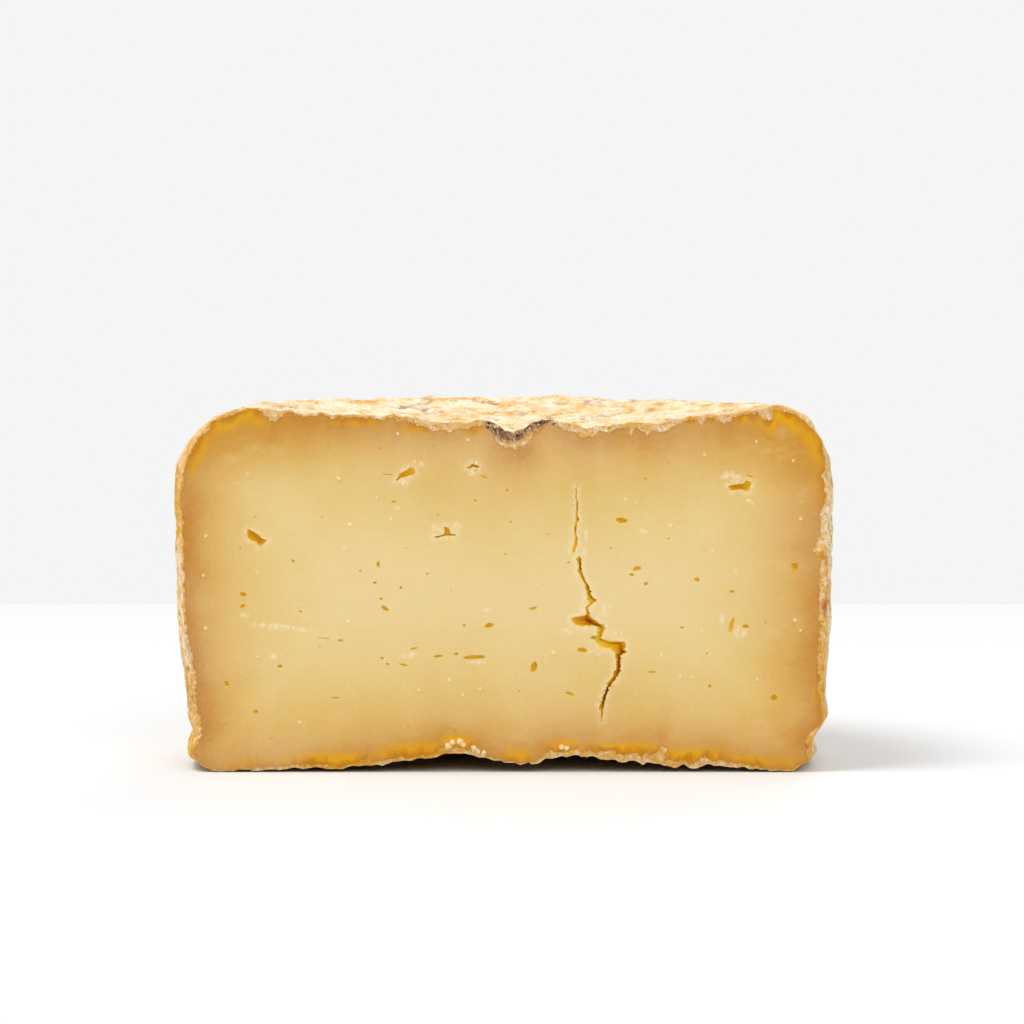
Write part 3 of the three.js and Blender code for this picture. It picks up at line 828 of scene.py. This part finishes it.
def cut_face(outer):
    """The flat cut: its outline from the rind, the rims of its hollows and points between."""
    outline_ids = outer["loop"]
    outline = outer["points"][outline_ids][:, [0, 2]]
    kinds = hollows()
    rims = [crack_loop(shape) if kind == "crack" else shape for kind, shape, _ in kinds]
    border = np.concatenate([spaced(closed(ring), 0.25) for ring in [outline, *rims]])
    patch_middles = np.array([(x, z) for x, z, *_ in PALE_PATCHES])
    patch_reach = np.array([w for _, _, w, _, _ in PALE_PATCHES])

    def spacing(places):
        gap = gap_to(border, places)
        wanted = np.clip(0.34 + 0.2 * gap, CLOSEST, PASTE_STEP)
        from_patch = np.linalg.norm(places[:, None] - patch_middles[None], axis=2) - patch_reach
        wanted = np.minimum(wanted, np.clip(0.6 + 0.4 * from_patch.min(axis=1), 0.6, 9))
        return np.where(gap > 0.3, wanted, -1)

    *discs, spots = crystal_discs()
    fine = clear_of(discs[0], [outline, *rims], 0.3)
    crystals, crystal_marks, crystal_rises = (values[fine] for values in discs)
    spread = scattered(outline.min(axis=0), outline.max(axis=0), CLOSEST, spacing)
    spread = spread[on_paste(spread, [outline, *rims])]
    spread = spread[gap_to(crystals, spread) > 0.3]
    for x, z, size, _ in spots:
        spread = spread[np.hypot(spread[:, 0] - x, spread[:, 1] - z) > size]
    places = np.concatenate([outline, *rims, crystals, spread])
    starts = np.cumsum([0, len(outline), *map(len, rims)])
    loops = [np.arange(a, b) for a, b in zip(starts, starts[1:])]
    tris = triangulated(places, loops, loops[1:])
    marks, rises = np.zeros(len(places)), np.zeros(len(places))
    marks[starts[-1]:starts[-1] + len(crystals)] = crystal_marks
    rises[starts[-1]:starts[-1] + len(crystals)] = crystal_rises
    return {
        "places": places, "tris": tris, "loops": loops, "kinds": kinds, "crystal": marks, "rise": rises,
        "outline": outline,
    }


def face_relief(places, under, rise):
    """How far the cut stands out towards the knife: crumbly in the crust, nearly flat in the paste."""
    flat = upright(places)
    soft, grain = Noise(21), Noise(23)
    crust = rounded(-under, -0.1, 0.5)
    paste = 0.1 * soft(flat, 26) + 0.05 * soft(flat * (0.35, 1, 1), 4.5)
    crumbly = 0.22 * grain(flat, 1.5) + 0.12 * grain(flat, 0.8) - 0.05
    return paste * (1 - crust) + crumbly * crust + rise


def patch_strength(places):
    """1 in the pale torn patches, 0 away from them."""
    flat = upright(places)
    ragged = 0.4 * Noise(31)(flat, 1.4) + 0.2 * Noise(32)(flat, 0.7)
    strength = np.zeros(len(places))
    for x, z, wide, high, lean in PALE_PATCHES:
        along, across = turned(places, x, z, lean)
        reach = np.hypot(along / wide, across / high) + ragged
        strength = np.maximum(strength, 1 - rounded(reach, 0.5, 1.3))
    return strength


def spot_strength(places, spots, full=0.25, none=1.2):
    """The most that any of the spots gives each place, from its full strength near its middle to none."""
    strength = np.zeros(len(places))
    for x, z, wide, high, most in spots:
        reach = np.hypot((places[:, 0] - x) / wide, (places[:, 1] - z) / high)
        strength = np.maximum(strength, most * (1 - rounded(reach, full, none)))
    return strength


def mould_strength(points):
    """Dark mould round the crease in the top crust, running a little way back from the cut."""
    crease = spaced(np.array(MOULD_CREASE, float), 0.4)
    tree = kd_tree(upright(crease, CUT))
    squeezed = points * (1, 0.3, 1) + (0, CUT * 0.7, 0)
    gap = np.array([tree.find(p)[2] for p in squeezed])
    gap += 0.5 * Noise(41)(points, 1.6)
    return 1 - rounded(gap, 1.0, 2.7)


def eye_walls(ring_ids, ring, depth, start):
    """Rings of points that close in with depth, and a floor."""
    middle = ring.mean(axis=0)
    points, hollow_shades, faces = [], [], []
    before = ring_ids
    count = len(ring)
    for share, sink in EYE_RINGS:
        jitter = RNG.uniform(-0.04, 0.04, ring.shape) * min(1.0, depth)
        level = middle + (ring - middle) * share + jitter
        back = depth * sink * RNG.uniform(0.85, 1.1, count)
        points += [(x, CUT + y, z) for (x, z), y in zip(level, back)]
        # How much painted shade each ring of the walls gets, growing with depth
        hollow_shades += list(np.clip(back / HOLLOW_SHADE_DEPTH, 0, 1))
        now = np.arange(start + len(points) - count, start + len(points))
        faces += [(before[i], before[i - 1], now[i - 1], now[i]) for i in range(count)]
        before = now
    points.append((middle[0], CUT + depth, middle[1]))
    hollow_shades.append(min(1.0, depth / HOLLOW_SHADE_DEPTH))
    end = start + len(points) - 1
    faces += [(before[i], before[i - 1], end) for i in range(count)]
    return points, hollow_shades, faces


def crack_walls(ring_ids, edges, reach, start):
    """The crack's walls lean in from its two edges and meet in a deep line."""
    count = edges.shape[1]
    left_ids, right_ids = ring_ids[:count], ring_ids[count:][::-1]
    middle = edges[0] * (1 - DEEP_LINE) + edges[1] * DEEP_LINE
    points, hollow_shades, faces = [], [], []
    before = (left_ids, right_ids)
    for share, sink in CRACK_RINGS:
        now = []
        for edge in edges:
            level = middle + (edge - middle) * share + RNG.uniform(-0.05, 0.05, edge.shape) * share
            points += [(x, CUT + y, z) for (x, z), y in zip(level, reach * sink)]
            # How much painted shade each row of the crack's walls gets, growing with depth
            hollow_shades += list(np.clip(reach * sink / CRACK_SHADE_DEPTH, 0, 1))
            now.append(np.arange(start + len(points) - count, start + len(points)))
        faces += wall_strip(before[0], now[0]) + wall_strip(now[1], before[1])
        faces += [(before[0][0], now[0][0], now[1][0], before[1][0])]
        faces += [(before[0][-1], before[1][-1], now[1][-1], now[0][-1])]
        before = now
    points += [(x, CUT + y, z) for (x, z), y in zip(middle, reach)]
    hollow_shades += list(np.clip(reach / CRACK_SHADE_DEPTH, 0, 1))
    end = np.arange(start + len(points) - count, start + len(points))
    faces += wall_strip(before[0], end) + wall_strip(end, before[1])
    faces += [(before[0][0], end[0], before[1][0]), (before[0][-1], before[1][-1], end[-1])]
    return points, hollow_shades, faces


def wall_strip(outer_ids, inner_ids):
    """Faces between two rows of points."""
    return list(zip(outer_ids[:-1], outer_ids[1:], inner_ids[1:], inner_ids[:-1]))


# ---------------------------------------------------------------- the whole cheese

FACTS = (
    "under", "hollow_shade", "pale", "crystal", "golden", "amber",
    "mould", "stain", "rust", "flank", "underside", "sliced",
)


def cut_relief(face, under):
    """How far each place of the cut stands out, with its outline and the rims of its hollows kept flat."""
    relief = face_relief(face["places"], under, face["rise"])
    relief[:len(face["outline"])] = 0
    rims = np.concatenate([face["places"][loop] for loop in face["loops"][1:]])
    return relief * rounded(gap_to(rims, face["places"]), 0.0, 0.4)


def painted_rim_highlight(face):
    """Painted highlight: paler paste along the rims of the crack and the torn eyes, where light catches their
    edges.
    """
    rims = face["loops"][1:]
    torn_and_highlit = [loop for loop, (kind, _, _) in zip(rims, face["kinds"]) if kind == "crack"] + rims[:len(TORN_EYES)]
    from_tear = gap_to(np.concatenate([face["places"][loop] for loop in torn_and_highlit]), face["places"])
    return 0.75 * np.exp(-(from_tear / 1.1) ** 2)


def golden_cut(places, under):
    """Golden paste on the cut, and more of it where the crust is cut through."""
    plain = spot_strength(places, GOLDEN_SPOTS)
    crusty = spot_strength(places, GOLDEN_SPOTS + GOLDEN_CRUST + GOLDEN_SLICE)
    return plain + rounded(-under, -0.2, 0.4) * (crusty - plain)


def near_cut(points, reach):
    """1 at the cut, fading over a reach behind it."""
    return np.exp(-((points[:, 1] - CUT) / reach) ** 2)


def surface_facts(points, ids, outer, face, under):
    """What the materials need to know at each point; ids are the points of the cut."""
    places = face["places"]
    facts = {name: np.zeros(len(points)) for name in FACTS}
    facts["under"][:len(outer["points"])] = RIND_UNDER
    facts["under"][ids] = under
    facts["stain"][:len(outer["points"])] = outer["stain"]
    facts["crystal"][ids] = face["crystal"]
    # Pale torn patches, and a painted highlight along the rims of the crack and the torn eyes
    facts["pale"][ids] = np.maximum(patch_strength(places), painted_rim_highlight(face))
    facts["golden"] = spot_strength(points[:, [0, 2]], GOLDEN_SPOTS + GOLDEN_CRUST) * near_cut(points, 12)
    facts["golden"][ids] = golden_cut(places, under)
    facts["rust"] = spot_strength(points[:, [0, 2]], RUST_MARKS) * near_cut(points, 2.4)
    facts["amber"][ids] = spot_strength(places, AMBER_CORNERS, 0.2, 1.0)
    facts["flank"] = 1 - rounded(points[:, 2] + 4 * Noise(61)(points, 9, 2), *SIDE_ENDS)
    reach = np.hypot(points[:, 0], points[:, 1])
    within_ring = 1 - rounded(reach, RING_OUTER - 3, RING_OUTER + 1)
    facts["underside"] = (1 - rounded(points[:, 2], 4, 7)) * within_ring
    facts["underside"][ids] *= 0.3
    facts["sliced"][ids] = 1.0
    facts["sliced"][outer["loop"]] = 0.5
    facts["mould"] = mould_strength(points) * (np.abs(points[:, 0] - 5) < 14)
    return facts


def cheese_mesh():
    """Points, faces, the region that each face is mapped to, the facts at each point, and the crust's grid."""
    outer = outer_surface()
    face = cut_face(outer)
    outline_count, shell_count = len(face["outline"]), len(outer["points"])
    total = shell_count + len(face["places"]) - outline_count
    ids = np.concatenate([outer["loop"], np.arange(shell_count, total)])
    thickness, gap = crust_thickness(face["places"], face["outline"])
    under = gap - thickness
    face_points = upright(face["places"], CUT - cut_relief(face, under))[outline_count:]
    points = np.concatenate([outer["points"], face_points])
    facts = surface_facts(points, ids, outer, face, under)

    faces, regions = [], []
    cut_tris = facing(points, ids[face["tris"]], "Y", -1)
    parts = (("side", outer["quads"]), ("top", outer["top"]), ("base", outer["base"]), ("cut", cut_tris))
    for region, part in parts:
        faces += [tuple(f) for f in part]
        regions += [region] * len(part)
    more, hollow_shades = [], []
    for (kind, shape, depth), loop in zip(face["kinds"], face["loops"][1:]):
        build = crack_walls if kind == "crack" else eye_walls
        new, hollow_shade, walls = build(ids[loop], shape, depth, total + len(more))
        more += new
        hollow_shades += hollow_shade
        faces += walls
        regions += ["cut"] * len(walls)
    points = np.concatenate([points, more])
    for name in facts:
        facts[name] = np.concatenate([facts[name], np.zeros(len(more))])
    # How much painted shade each point inside the hollows gets
    facts["hollow_shade"][total:] = hollow_shades
    facts["under"][total:] = PASTE_UNDER
    return points, faces, regions, facts, outer


def map_places(points, faces, regions, outer):
    """Where each corner of each face lies in the map."""
    low, high = points.min(axis=0), points.max(axis=0)
    share = (points - low) / (high - low)
    side = np.zeros((len(points), 2))
    side[:len(outer["run"])] = np.column_stack([outer["run"] * 0.5 + 0.5, outer["rise"]])
    spread = {
        "side": (side, SIDE_ROOM), "top": (share[:, [0, 1]], TOP_ROOM),
        "base": (share[:, [0, 1]], BASE_ROOM), "cut": (share[:, [0, 2]], CUT_ROOM),
    }
    placed = {name: at * room[2:] + room[:2] for name, (at, room) in spread.items()}
    return np.concatenate([placed[region][list(face)] for face, region in zip(faces, regions)])


def build_cheese():
    points, faces, regions, facts, outer = cheese_mesh()
    mesh = bpy.data.meshes.new("cheese")
    mesh.from_pydata(((points + (0, AXIS_Y, LOW.z)) * MM).tolist(), [], [list(map(int, f)) for f in faces])
    for name, values in facts.items():
        layer = mesh.attributes.new(name, "FLOAT", "POINT")
        layer.data.foreach_set("value", values.astype(np.float32))
    unwrapped = mesh.uv_layers.new(name="OFBake")
    unwrapped.data.foreach_set("uv", map_places(points, faces, regions, outer).astype(np.float32).ravel())
    mesh.shade_smooth()
    mesh.set_sharp_from_angle(angle=math.radians(SHARP_EDGE))
    mesh.materials.append(cheese_material())
    cheese = bpy.data.objects.new("cheese", mesh)
    bpy.context.collection.objects.link(cheese)
    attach(cheese, "root")
    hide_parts("cheese_wheel")
    return cheese


# ---------------------------------------------------------------- materials

def colour(text):
    """A screen colour such as #E8CA88 as the linear values that shaders take."""
    parts = [int(text[i:i + 2], 16) / 255 for i in (1, 3, 5)]
    return (*[p / 12.92 if p <= 0.04045 else ((p + 0.055) / 1.055) ** 2.4 for p in parts], 1.0)


class Shader:
    """Short names for the few node kinds that the materials use."""

    def __init__(self, name):
        self.material = bpy.data.materials.new(name)
        self.material.use_nodes = True
        self.tree = self.material.node_tree
        self.surface = self.tree.nodes["Principled BSDF"]
        self.place = self.tree.nodes.new("ShaderNodeTexCoord").outputs["Object"]

    def put(self, socket, value):
        if isinstance(value, bpy.types.NodeSocket):
            self.tree.links.new(value, socket)
        else:
            socket.default_value = value

    def fact(self, name):
        node = self.tree.nodes.new("ShaderNodeAttribute")
        node.attribute_name = name
        return node.outputs["Fac"]

    def stretched(self, scale):
        node = self.tree.nodes.new("ShaderNodeMapping")
        self.put(node.inputs["Vector"], self.place)
        node.inputs["Scale"].default_value = scale
        return node.outputs["Vector"]

    def noise(self, size_mm, detail=2.0, rough=0.5, place=None):
        node = self.tree.nodes.new("ShaderNodeTexNoise")
        self.put(node.inputs["Vector"], place or self.place)
        node.inputs["Scale"].default_value = 1 / (size_mm * MM)
        node.inputs["Detail"].default_value = detail
        node.inputs["Roughness"].default_value = rough
        return node.outputs["Fac"]

    def cells(self, size_mm):
        node = self.tree.nodes.new("ShaderNodeTexVoronoi")
        self.put(node.inputs["Vector"], self.place)
        node.inputs["Scale"].default_value = 1 / (size_mm * MM)
        return node.outputs["Distance"]

    def math(self, kind, a, b):
        node = self.tree.nodes.new("ShaderNodeMath")
        node.operation = kind
        self.put(node.inputs[0], a)
        self.put(node.inputs[1], b)
        return node.outputs[0]

    def times(self, a, b):
        return self.math("MULTIPLY", a, b)

    def plus(self, a, b):
        return self.math("ADD", a, b)

    def swing(self, noise, width):
        """A noise about 0 instead of about a half."""
        return self.times(self.math("SUBTRACT", noise, 0.5), width)

    def span(self, value, low, high):
        """0 at low, 1 at high, smooth between; low may be the larger."""
        node = self.tree.nodes.new("ShaderNodeMapRange")
        node.interpolation_type = "SMOOTHSTEP"
        self.put(node.inputs["Value"], value)
        node.inputs["From Min"].default_value = low
        node.inputs["From Max"].default_value = high
        return node.outputs["Result"]

    def ramp(self, value, stops):
        node = self.tree.nodes.new("ShaderNodeValToRGB")
        self.put(node.inputs["Fac"], value)
        elements = node.color_ramp.elements
        while len(elements) < len(stops):
            elements.new(0.5)
        for element, (place, shade) in zip(elements, stops):
            element.position = place
            element.color = colour(shade)
        return node.outputs["Color"]

    def mix(self, share, a, b):
        node = self.tree.nodes.new("ShaderNodeMix")
        node.data_type = "RGBA"
        self.put(node.inputs["Factor"], share)
        for socket, value in zip((node.inputs[6], node.inputs[7]), (a, b)):
            self.put(socket, colour(value) if isinstance(value, str) else value)
        return node.outputs[2]

    def tint(self, base, share, most, shade):
        """The base with a shade over it: as much of it as share says, and at most a given part."""
        return self.mix(self.times(share, most), base, shade)

    def blend(self, share, a, b):
        """A number between two numbers."""
        node = self.tree.nodes.new("ShaderNodeMix")
        for socket, value in zip(node.inputs[:4], (share, None, a, b)):
            if value is not None:
                self.put(socket, value)
        return node.outputs[0]

    def bump(self, height, strength, distance_mm):
        node = self.tree.nodes.new("ShaderNodeBump")
        node.inputs["Strength"].default_value = strength
        node.inputs["Distance"].default_value = distance_mm * MM
        self.put(node.inputs["Height"], height)
        return node.outputs["Normal"]


PASTE_DEPTH = 45.0  # millimetres below the crust where the paste reaches its palest
PASTE_STOPS = [(0.0, "#BB7E34"), (1.6, "#C18637"), (3.4, "#C89345"), (5.6, "#CFA050"), (8.4, "#D6AB5C"),
               (13.0, "#DBB668"), (19.0, "#DFBF76"), (28.0, "#E3C785"), (40.0, "#E6CD94")]

# Colours of the hollows by depth: painted light and shade over their golden colour, brightened near the rims to
# offset their shade, and darker and browner deeper in.
HOLLOW_SHADE_STOPS = [(0.0, "#F0D060"), (0.08, "#E9BC26"), (0.35, "#E0A80C"), (0.7, "#D87E08"), (1.0, "#C45206")]
TOP_STOPS = [(0.3, "#D89C4A"), (0.4, "#E9C486"), (0.48, "#F0D8AC"), (0.58, "#F6E7CA")]
SIDE_STOPS = [(0.35, "#CE8C2A"), (0.44, "#EDBF62"), (0.52, "#F9E1AE"), (0.61, "#FFF6E2")]
MOULD_STOPS = [(0.37, "#3E1E12"), (0.5, "#7A5038"), (0.63, "#B48C66")]


def paste_colour(s):
    """Brown and waxy under the crust, paler inwards, with a faint mottle, the marks of the cut, a painted
    highlight along the torn rims and painted light and shade in the hollows.
    """
    wander = s.swing(s.noise(14, 2), 4.0)
    depth = s.plus(s.fact("under"), s.times(wander, s.span(s.fact("under"), 0, 6)))
    stops = [(mm / PASTE_DEPTH, shade) for mm, shade in PASTE_STOPS]
    base = s.ramp(s.math("DIVIDE", depth, PASTE_DEPTH), stops)
    clouds = s.span(s.noise(23, 2, 0.5), 0.35, 0.7)
    base = s.tint(base, clouds, 0.3, "#E7CE97")
    mottle = s.span(s.noise(1.4, 3, 0.6), 0.4, 0.7)
    base = s.tint(base, mottle, 0.07, "#F4E2B6")
    drag = s.span(s.noise(1.8, 3, 0.6, s.stretched((0.1, 1.0, 1.0))), 0.45, 0.7)
    base = s.tint(base, drag, 0.05, "#D3A552")
    flat_clouds = s.span(s.noise(7, 3, 0.6, s.stretched((1.0, 1.0, 2.0))), 0.2, 0.55)
    amber = s.times(s.fact("amber"), flat_clouds)
    base = s.tint(base, amber, 0.75, "#C88A20")
    lobes = s.swing(s.noise(2.6, 3, 0.55, s.stretched((1.0, 1.0, 0.4))), 5.0)
    level = s.plus(s.fact("under"), lobes)
    golden = s.times(s.fact("golden"), s.span(level, 5.6, 2.2))
    base = s.mix(golden, base, s.mix(s.span(level, -0.4, 2.4), "#C07A02", "#DEA304"))
    pin = s.times(s.span(s.cells(8.5), 0.05, 0.03), s.span(s.fact("under"), 2, 5))
    base = s.tint(base, pin, 0.55, "#BE8A2A")
    # Paler torn paste in the patches, and a painted highlight along the torn rims
    torn_and_highlit = s.times(s.fact("pale"), s.span(s.noise(1.3, 4, 0.65), 0.34, 0.6))
    base = s.tint(base, torn_and_highlit, 0.62, "#F3E4C0")
    # The hollows take these colours by depth: painted light near their rims and painted shade deeper in.
    hollow_shade = s.ramp(s.fact("hollow_shade"), HOLLOW_SHADE_STOPS)
    return s.mix(s.span(s.fact("hollow_shade"), 0.01, 0.06), base, hollow_shade)


def rind_colour(s):
    """Cream bloom over golden and orange crust, with brown folds, grey mould and peach patches."""
    broad = s.span(s.noise(30, 3, 0.55), 0.42, 0.62)
    deep = s.stretched((1.0, 0.4, 1.0))
    upper = s.ramp(s.noise(6, 5, 0.6, deep), TOP_STOPS)
    drift = s.swing(s.noise(26, 4, 0.6), 0.7)
    grain = s.plus(s.noise(2.2, 5, 0.7), drift)
    side = s.ramp(grain, SIDE_STOPS)
    base = s.mix(s.fact("flank"), upper, side)
    above = s.math("SUBTRACT", 1.0, s.fact("flank"))
    orange = s.span(s.noise(4.2, 5, 0.7, s.stretched((1.0, 0.6, 1.4))), 0.57, 0.66)
    base = s.mix(s.times(orange, s.blend(broad, 0.4, 0.8)), base, "#D98F34")
    peach = s.times(s.span(s.noise(13, 3, 0.5), 0.54, 0.66), s.blend(above, 0.3, 1.0))
    base = s.tint(base, peach, 0.4, "#EBBE94")
    granules = s.span(s.cells(0.9), 0.25, 0.6)
    base = s.mix(s.times(granules, s.blend(s.fact("sliced"), 0.18, 0.45)), base, "#DCA24A")
    inner = s.times(s.span(s.fact("under"), -1.3, -0.1), s.span(s.noise(1.6, 4, 0.7), 0.42, 0.56))
    base = s.tint(base, s.times(s.fact("sliced"), inner), 0.8, "#DDA23A")
    waxy = s.times(s.fact("sliced"), s.span(s.noise(2.4, 4, 0.7), 0.44, 0.58))
    base = s.tint(base, waxy, 0.5, "#E6B04C")
    bloom = s.times(s.span(s.noise(2.0, 6, 0.74, deep), 0.52, 0.59), s.blend(above, 0.5, 1.0))
    base = s.mix(s.times(bloom, s.blend(broad, 0.7, 0.35)), base, "#FAEEDA")
    grey = s.span(s.noise(10, 6, 0.7), 0.6, 0.7)
    base = s.mix(s.times(grey, s.blend(s.fact("sliced"), 0.4, 0.0)), base, "#A09488")
    specks = s.span(s.noise(1.2, 3, 0.6), 0.63, 0.7)
    base = s.tint(base, specks, 0.7, "#A05C28")
    stain = s.times(s.fact("stain"), s.span(s.noise(1.4, 3, 0.7), 0.22, 0.48))
    base = s.tint(base, stain, 0.8, "#8A5228")
    golden = s.times(s.fact("golden"), s.span(s.noise(1.6, 4, 0.65), 0.36, 0.52))
    golden = s.times(golden, s.blend(s.fact("sliced"), 1.0, 0.8))
    base = s.tint(base, golden, 0.88, "#E2A424")
    base = s.tint(base, s.fact("rust"), 0.95, "#C84C08")
    base = s.tint(base, s.fact("underside"), 0.55, "#9A7448")
    mould = s.times(s.fact("mould"), s.span(s.noise(0.8, 4, 0.7), 0.34, 0.5))
    dark = s.ramp(s.noise(1.1, 3, 0.7), MOULD_STOPS)
    return s.mix(mould, base, dark)


def cheese_material():
    s = Shader("cheese")
    ragged = s.swing(s.noise(0.9, 4, 0.7), 1.6)
    crust = s.span(s.plus(s.fact("under"), ragged), 0.1, -0.1)
    base = s.mix(crust, paste_colour(s), rind_colour(s))
    white = s.times(s.span(s.fact("crystal"), 0.3, 1.0), s.blend(s.noise(0.8, 3, 0.7), 0.2, 1.2))
    s.put(s.surface.inputs["Base Color"], s.mix(white, base, "#F9E5BE"))
    s.put(s.surface.inputs["Roughness"], s.blend(crust, 0.55, 0.9))
    s.surface.inputs["Specular IOR Level"].default_value = 0.2
    s.put(s.surface.inputs["Subsurface Weight"], s.blend(crust, 0.3, 0.08))
    s.surface.inputs["Subsurface Radius"].default_value = (1.0, 0.5, 0.16)
    s.surface.inputs["Subsurface Scale"].default_value = 2.4 * MM
    streaks = s.noise(1.6, 3, 0.6, s.stretched((1.0, 1.0, 0.12)))
    fine = s.times(s.plus(s.noise(0.7, 3, 0.6), streaks), 0.5)
    coarse = s.plus(s.noise(0.9, 5, 0.75), s.times(s.cells(1.0), 0.5))
    height = s.blend(crust, s.times(fine, 0.08), coarse)
    s.put(s.surface.inputs["Normal"], s.bump(height, 0.85, 0.7))
    return s.material


def floor_material():
    s = Shader("floor")
    soft = s.times(s.noise(160, 2), 0.03)
    s.put(s.surface.inputs["Base Color"], s.mix(soft, "#E1E2E4", "#D7D8DA"))
    s.surface.inputs["Roughness"].default_value = 0.55
    s.surface.inputs["Specular IOR Level"].default_value = 0.2
    return s.material


# ---------------------------------------------------------------- the studio

FLOOR_BACK = 0.54  # metres behind the cut, where the table top ends
FLOOR_REACH = 3.0
CAMERA_BACK = 1.05
CAMERA_HEIGHT = 0.138
CAMERA_ACROSS = 0.0025
CAMERA_PITCH = 3.57
LENS = 133.6
SENSOR = 36
BACKDROP = "#F5F5F5"
SKY = {"From Min": 0.02, "From Max": 0.5, "To Min": 0.12, "To Max": 0.8}  # how it brightens with height
LIGHTS = [  # name, place, size and power
    ("key", (-0.75, -0.35, 1.75), 1.0, 23.4),
    ("front", (0.6, -1.9, 1.5), 1.6, 16),
    ("back", (0.7, 1.7, 1.5), 1.4, 12),
    ("left", (-1.7, -0.25, 0.45), 0.9, 4.5),
    ("right", (1.7, -0.25, 0.45), 0.9, 3),
]
LIT_POINT = (0, 0, 0.05)


def build_floor():
    back = LOW.y * MM + FLOOR_BACK
    corners = [(-FLOOR_REACH, -FLOOR_REACH, 0), (FLOOR_REACH, -FLOOR_REACH, 0),
               (FLOOR_REACH, back, 0), (-FLOOR_REACH, back, 0)]
    mesh = bpy.data.meshes.new("floor")
    mesh.from_pydata(corners, [], [(0, 1, 2, 3)])
    mesh.materials.append(floor_material())
    floor = bpy.data.objects.new("floor", mesh)
    bpy.context.collection.objects.link(floor)


def build_world():
    """Pale light from all round that brightens with height, and a pale grey backdrop that only the camera sees.
    """
    world = bpy.data.worlds.new("studio")
    bpy.context.scene.world = world
    world.use_nodes = True
    nodes, links = world.node_tree.nodes, world.node_tree.links
    seen, lit = nodes["Background"], nodes.new("ShaderNodeBackground")
    seen.inputs["Color"].default_value = colour(BACKDROP)
    where = nodes.new("ShaderNodeSeparateXYZ")
    links.new(nodes.new("ShaderNodeTexCoord").outputs["Generated"], where.inputs[0])
    rise = nodes.new("ShaderNodeMapRange")
    rise.interpolation_type = "SMOOTHSTEP"
    links.new(where.outputs["Z"], rise.inputs["Value"])
    for socket, value in SKY.items():
        rise.inputs[socket].default_value = value
    links.new(rise.outputs[0], lit.inputs["Strength"])
    choose = nodes.new("ShaderNodeMixShader")
    links.new(nodes.new("ShaderNodeLightPath").outputs["Is Camera Ray"], choose.inputs["Fac"])
    links.new(lit.outputs[0], choose.inputs[1])
    links.new(seen.outputs[0], choose.inputs[2])
    links.new(choose.outputs[0], nodes["World Output"].inputs["Surface"])


def build_lights():
    for name, place, size, power in LIGHTS:
        light = bpy.data.lights.new(name, "AREA")
        light.shape = "DISK"
        light.size = size
        light.energy = power
        lamp = bpy.data.objects.new(name, light)
        lamp.location = place
        lamp.rotation_mode = "QUATERNION"
        lamp.rotation_quaternion = (Vector(LIT_POINT) - Vector(place)).to_track_quat("-Z", "Y")
        bpy.context.collection.objects.link(lamp)


def build_camera():
    lens = bpy.data.cameras.new("camera")
    lens.lens = LENS
    lens.sensor_width = SENSOR
    lens.clip_start, lens.clip_end = 0.02, 20
    camera = bpy.data.objects.new("camera", lens)
    camera.location = (CAMERA_ACROSS, LOW.y * MM - CAMERA_BACK, CAMERA_HEIGHT)
    camera.rotation_euler = (math.radians(90 - CAMERA_PITCH), 0, 0)
    bpy.context.collection.objects.link(camera)
    bpy.context.scene.camera = camera


build_camera()
build_world()
build_lights()
build_floor()
build_cheese()
bpy.context.scene.view_settings.view_transform = "Standard"
